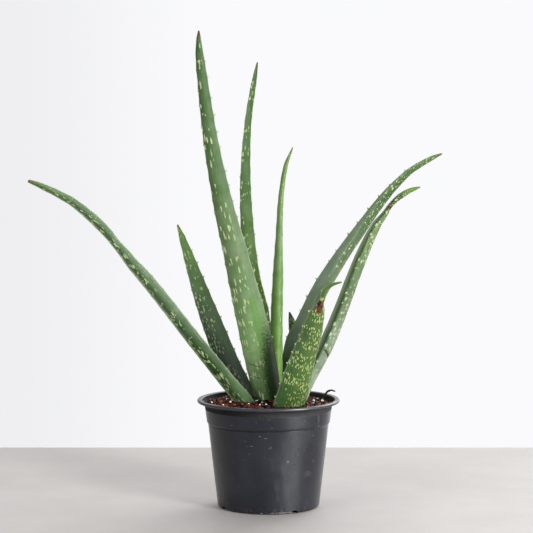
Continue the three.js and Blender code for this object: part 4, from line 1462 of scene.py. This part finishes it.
def perliteMesh():
    rng = np.random.default_rng(soilShape["seed"])
    spots = list(perliteSeen)
    prints = footprints()
    while len(spots) < soilShape["perliteCount"]:
        angle, radius = rng.uniform(0, 2 * math.pi), 70 * math.sqrt(rng.uniform(0, 1))
        x, y = radius * math.cos(angle), radius * math.sin(angle)
        free = all(math.hypot(x - c[0][0], y - c[0][1]) > c[3] + 2 for c in prints)
        if free and y > -10:
            spots.append((x, y, rng.uniform(1.4, 3.4)))
    points = [(x, y, float(soilHeight(x, y)) + 3.0 + 0.25 * size) for x, y, size in spots]
    return meshFrom("perlite_points", np.array(points) * mm, [], smooth=False)


def makeSoil():
    dirt = barkMaterial("dampSoil", 0.4, 420.0, usesTint=False)
    chip = barkMaterial("barkChip", 0.06, 900.0, roughness=0.6)
    pieceFrom("soil_bed", soilMesh(), dirt, ["soil"])
    grainTree = makeGrainTree()
    scatterTree = makeScatterTree(grainTree)
    room = roomMesh()
    for name, inputs in crumbSettings.items():
        piece = newObject(name, room.copy())
        settle(piece, scatterTree, {**inputs, "Material": chip})
        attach(piece, "root")
        print(name, "made:", len(piece.data.polygons), "faces")
    bpy.data.meshes.remove(room)
    perlite = newObject("soil_perlite", perliteMesh())
    settle(perlite, makePerliteTree(grainTree), {**perliteSettings, "Material": perliteMaterial()})
    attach(perlite, "root")
    print("soil made")


makeSoil()

# Dry root and buried stem

rootSettings = {
    "route": [
        (54, 22, 108, 1.25), (59, 23, 119, 1.25), (66, 23, 126, 1.2), (68.6, 22.5, 129.4, 1.2),
        (73, 21.5, 131.6, 1.1), (78, 20.5, 130.4, 0.7),
    ],
    "rings": 90,
    "corners": 14,
}


def makeDryRoot():
    s = rootSettings
    distances = np.linspace(0, routeLength(s["route"]), s["rings"])
    rows = curveAt(s["route"], distances)[0]
    along = unit(np.gradient(rows[:, :3], axis=0))
    side = unit(np.cross(along, (0, 1, 0)))
    up = np.cross(side, along)
    points = []
    for i in range(s["rings"]):
        for j in range(s["corners"]):
            a = 2 * math.pi * j / s["corners"]
            knob = 0.16 * float(waves(61, distances[i], 3 * math.cos(a), 5))
            lump = 1 + knob + 0.06 * math.sin(3 * a + distances[i])
            points.append(rows[i, :3] + (side[i] * math.cos(a) + up[i] * math.sin(a)) * rows[i, 3] * lump)
    points += [rows[0, :3], rows[-1, :3] + along[-1] * 0.3]
    bark = barkMaterial("driedRoot", 0.22, 600.0, usesTint=False)
    mesh = meshFrom("root_curl", np.array(points) * mm, tubeFaces(s["rings"], s["corners"]))
    pieceFrom("root_curl", mesh, bark, ["dry_root"])


def dressStem():
    # the stem stays as in the CAD: it is buried, and only gets its finish
    material, tree, shader = newMaterial("corkyStem")
    rings = noise(calcVector("MULTIPLY", objectPlace(tree), (0.4, 0.4, 2.5)), 260.0, 4.0, 0.6)
    stops = [(0.3, srgb(84, 62, 42)), (0.55, srgb(138, 118, 82)), (0.8, srgb(168, 154, 112))]
    feed(shader, "Base Color", ramp(rings, stops))
    feed(shader, "Roughness", rise(rings, 0.3, 0.7, 0.9, 0.7))
    bumped(shader, rings, 0.5, 0.0008)
    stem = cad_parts["stem"]
    stem.data.materials.clear()
    stem.data.materials.append(material)


makeDryRoot()
dressStem()
print("root and stem made")

# The end

bpy.context.view_layer.update()
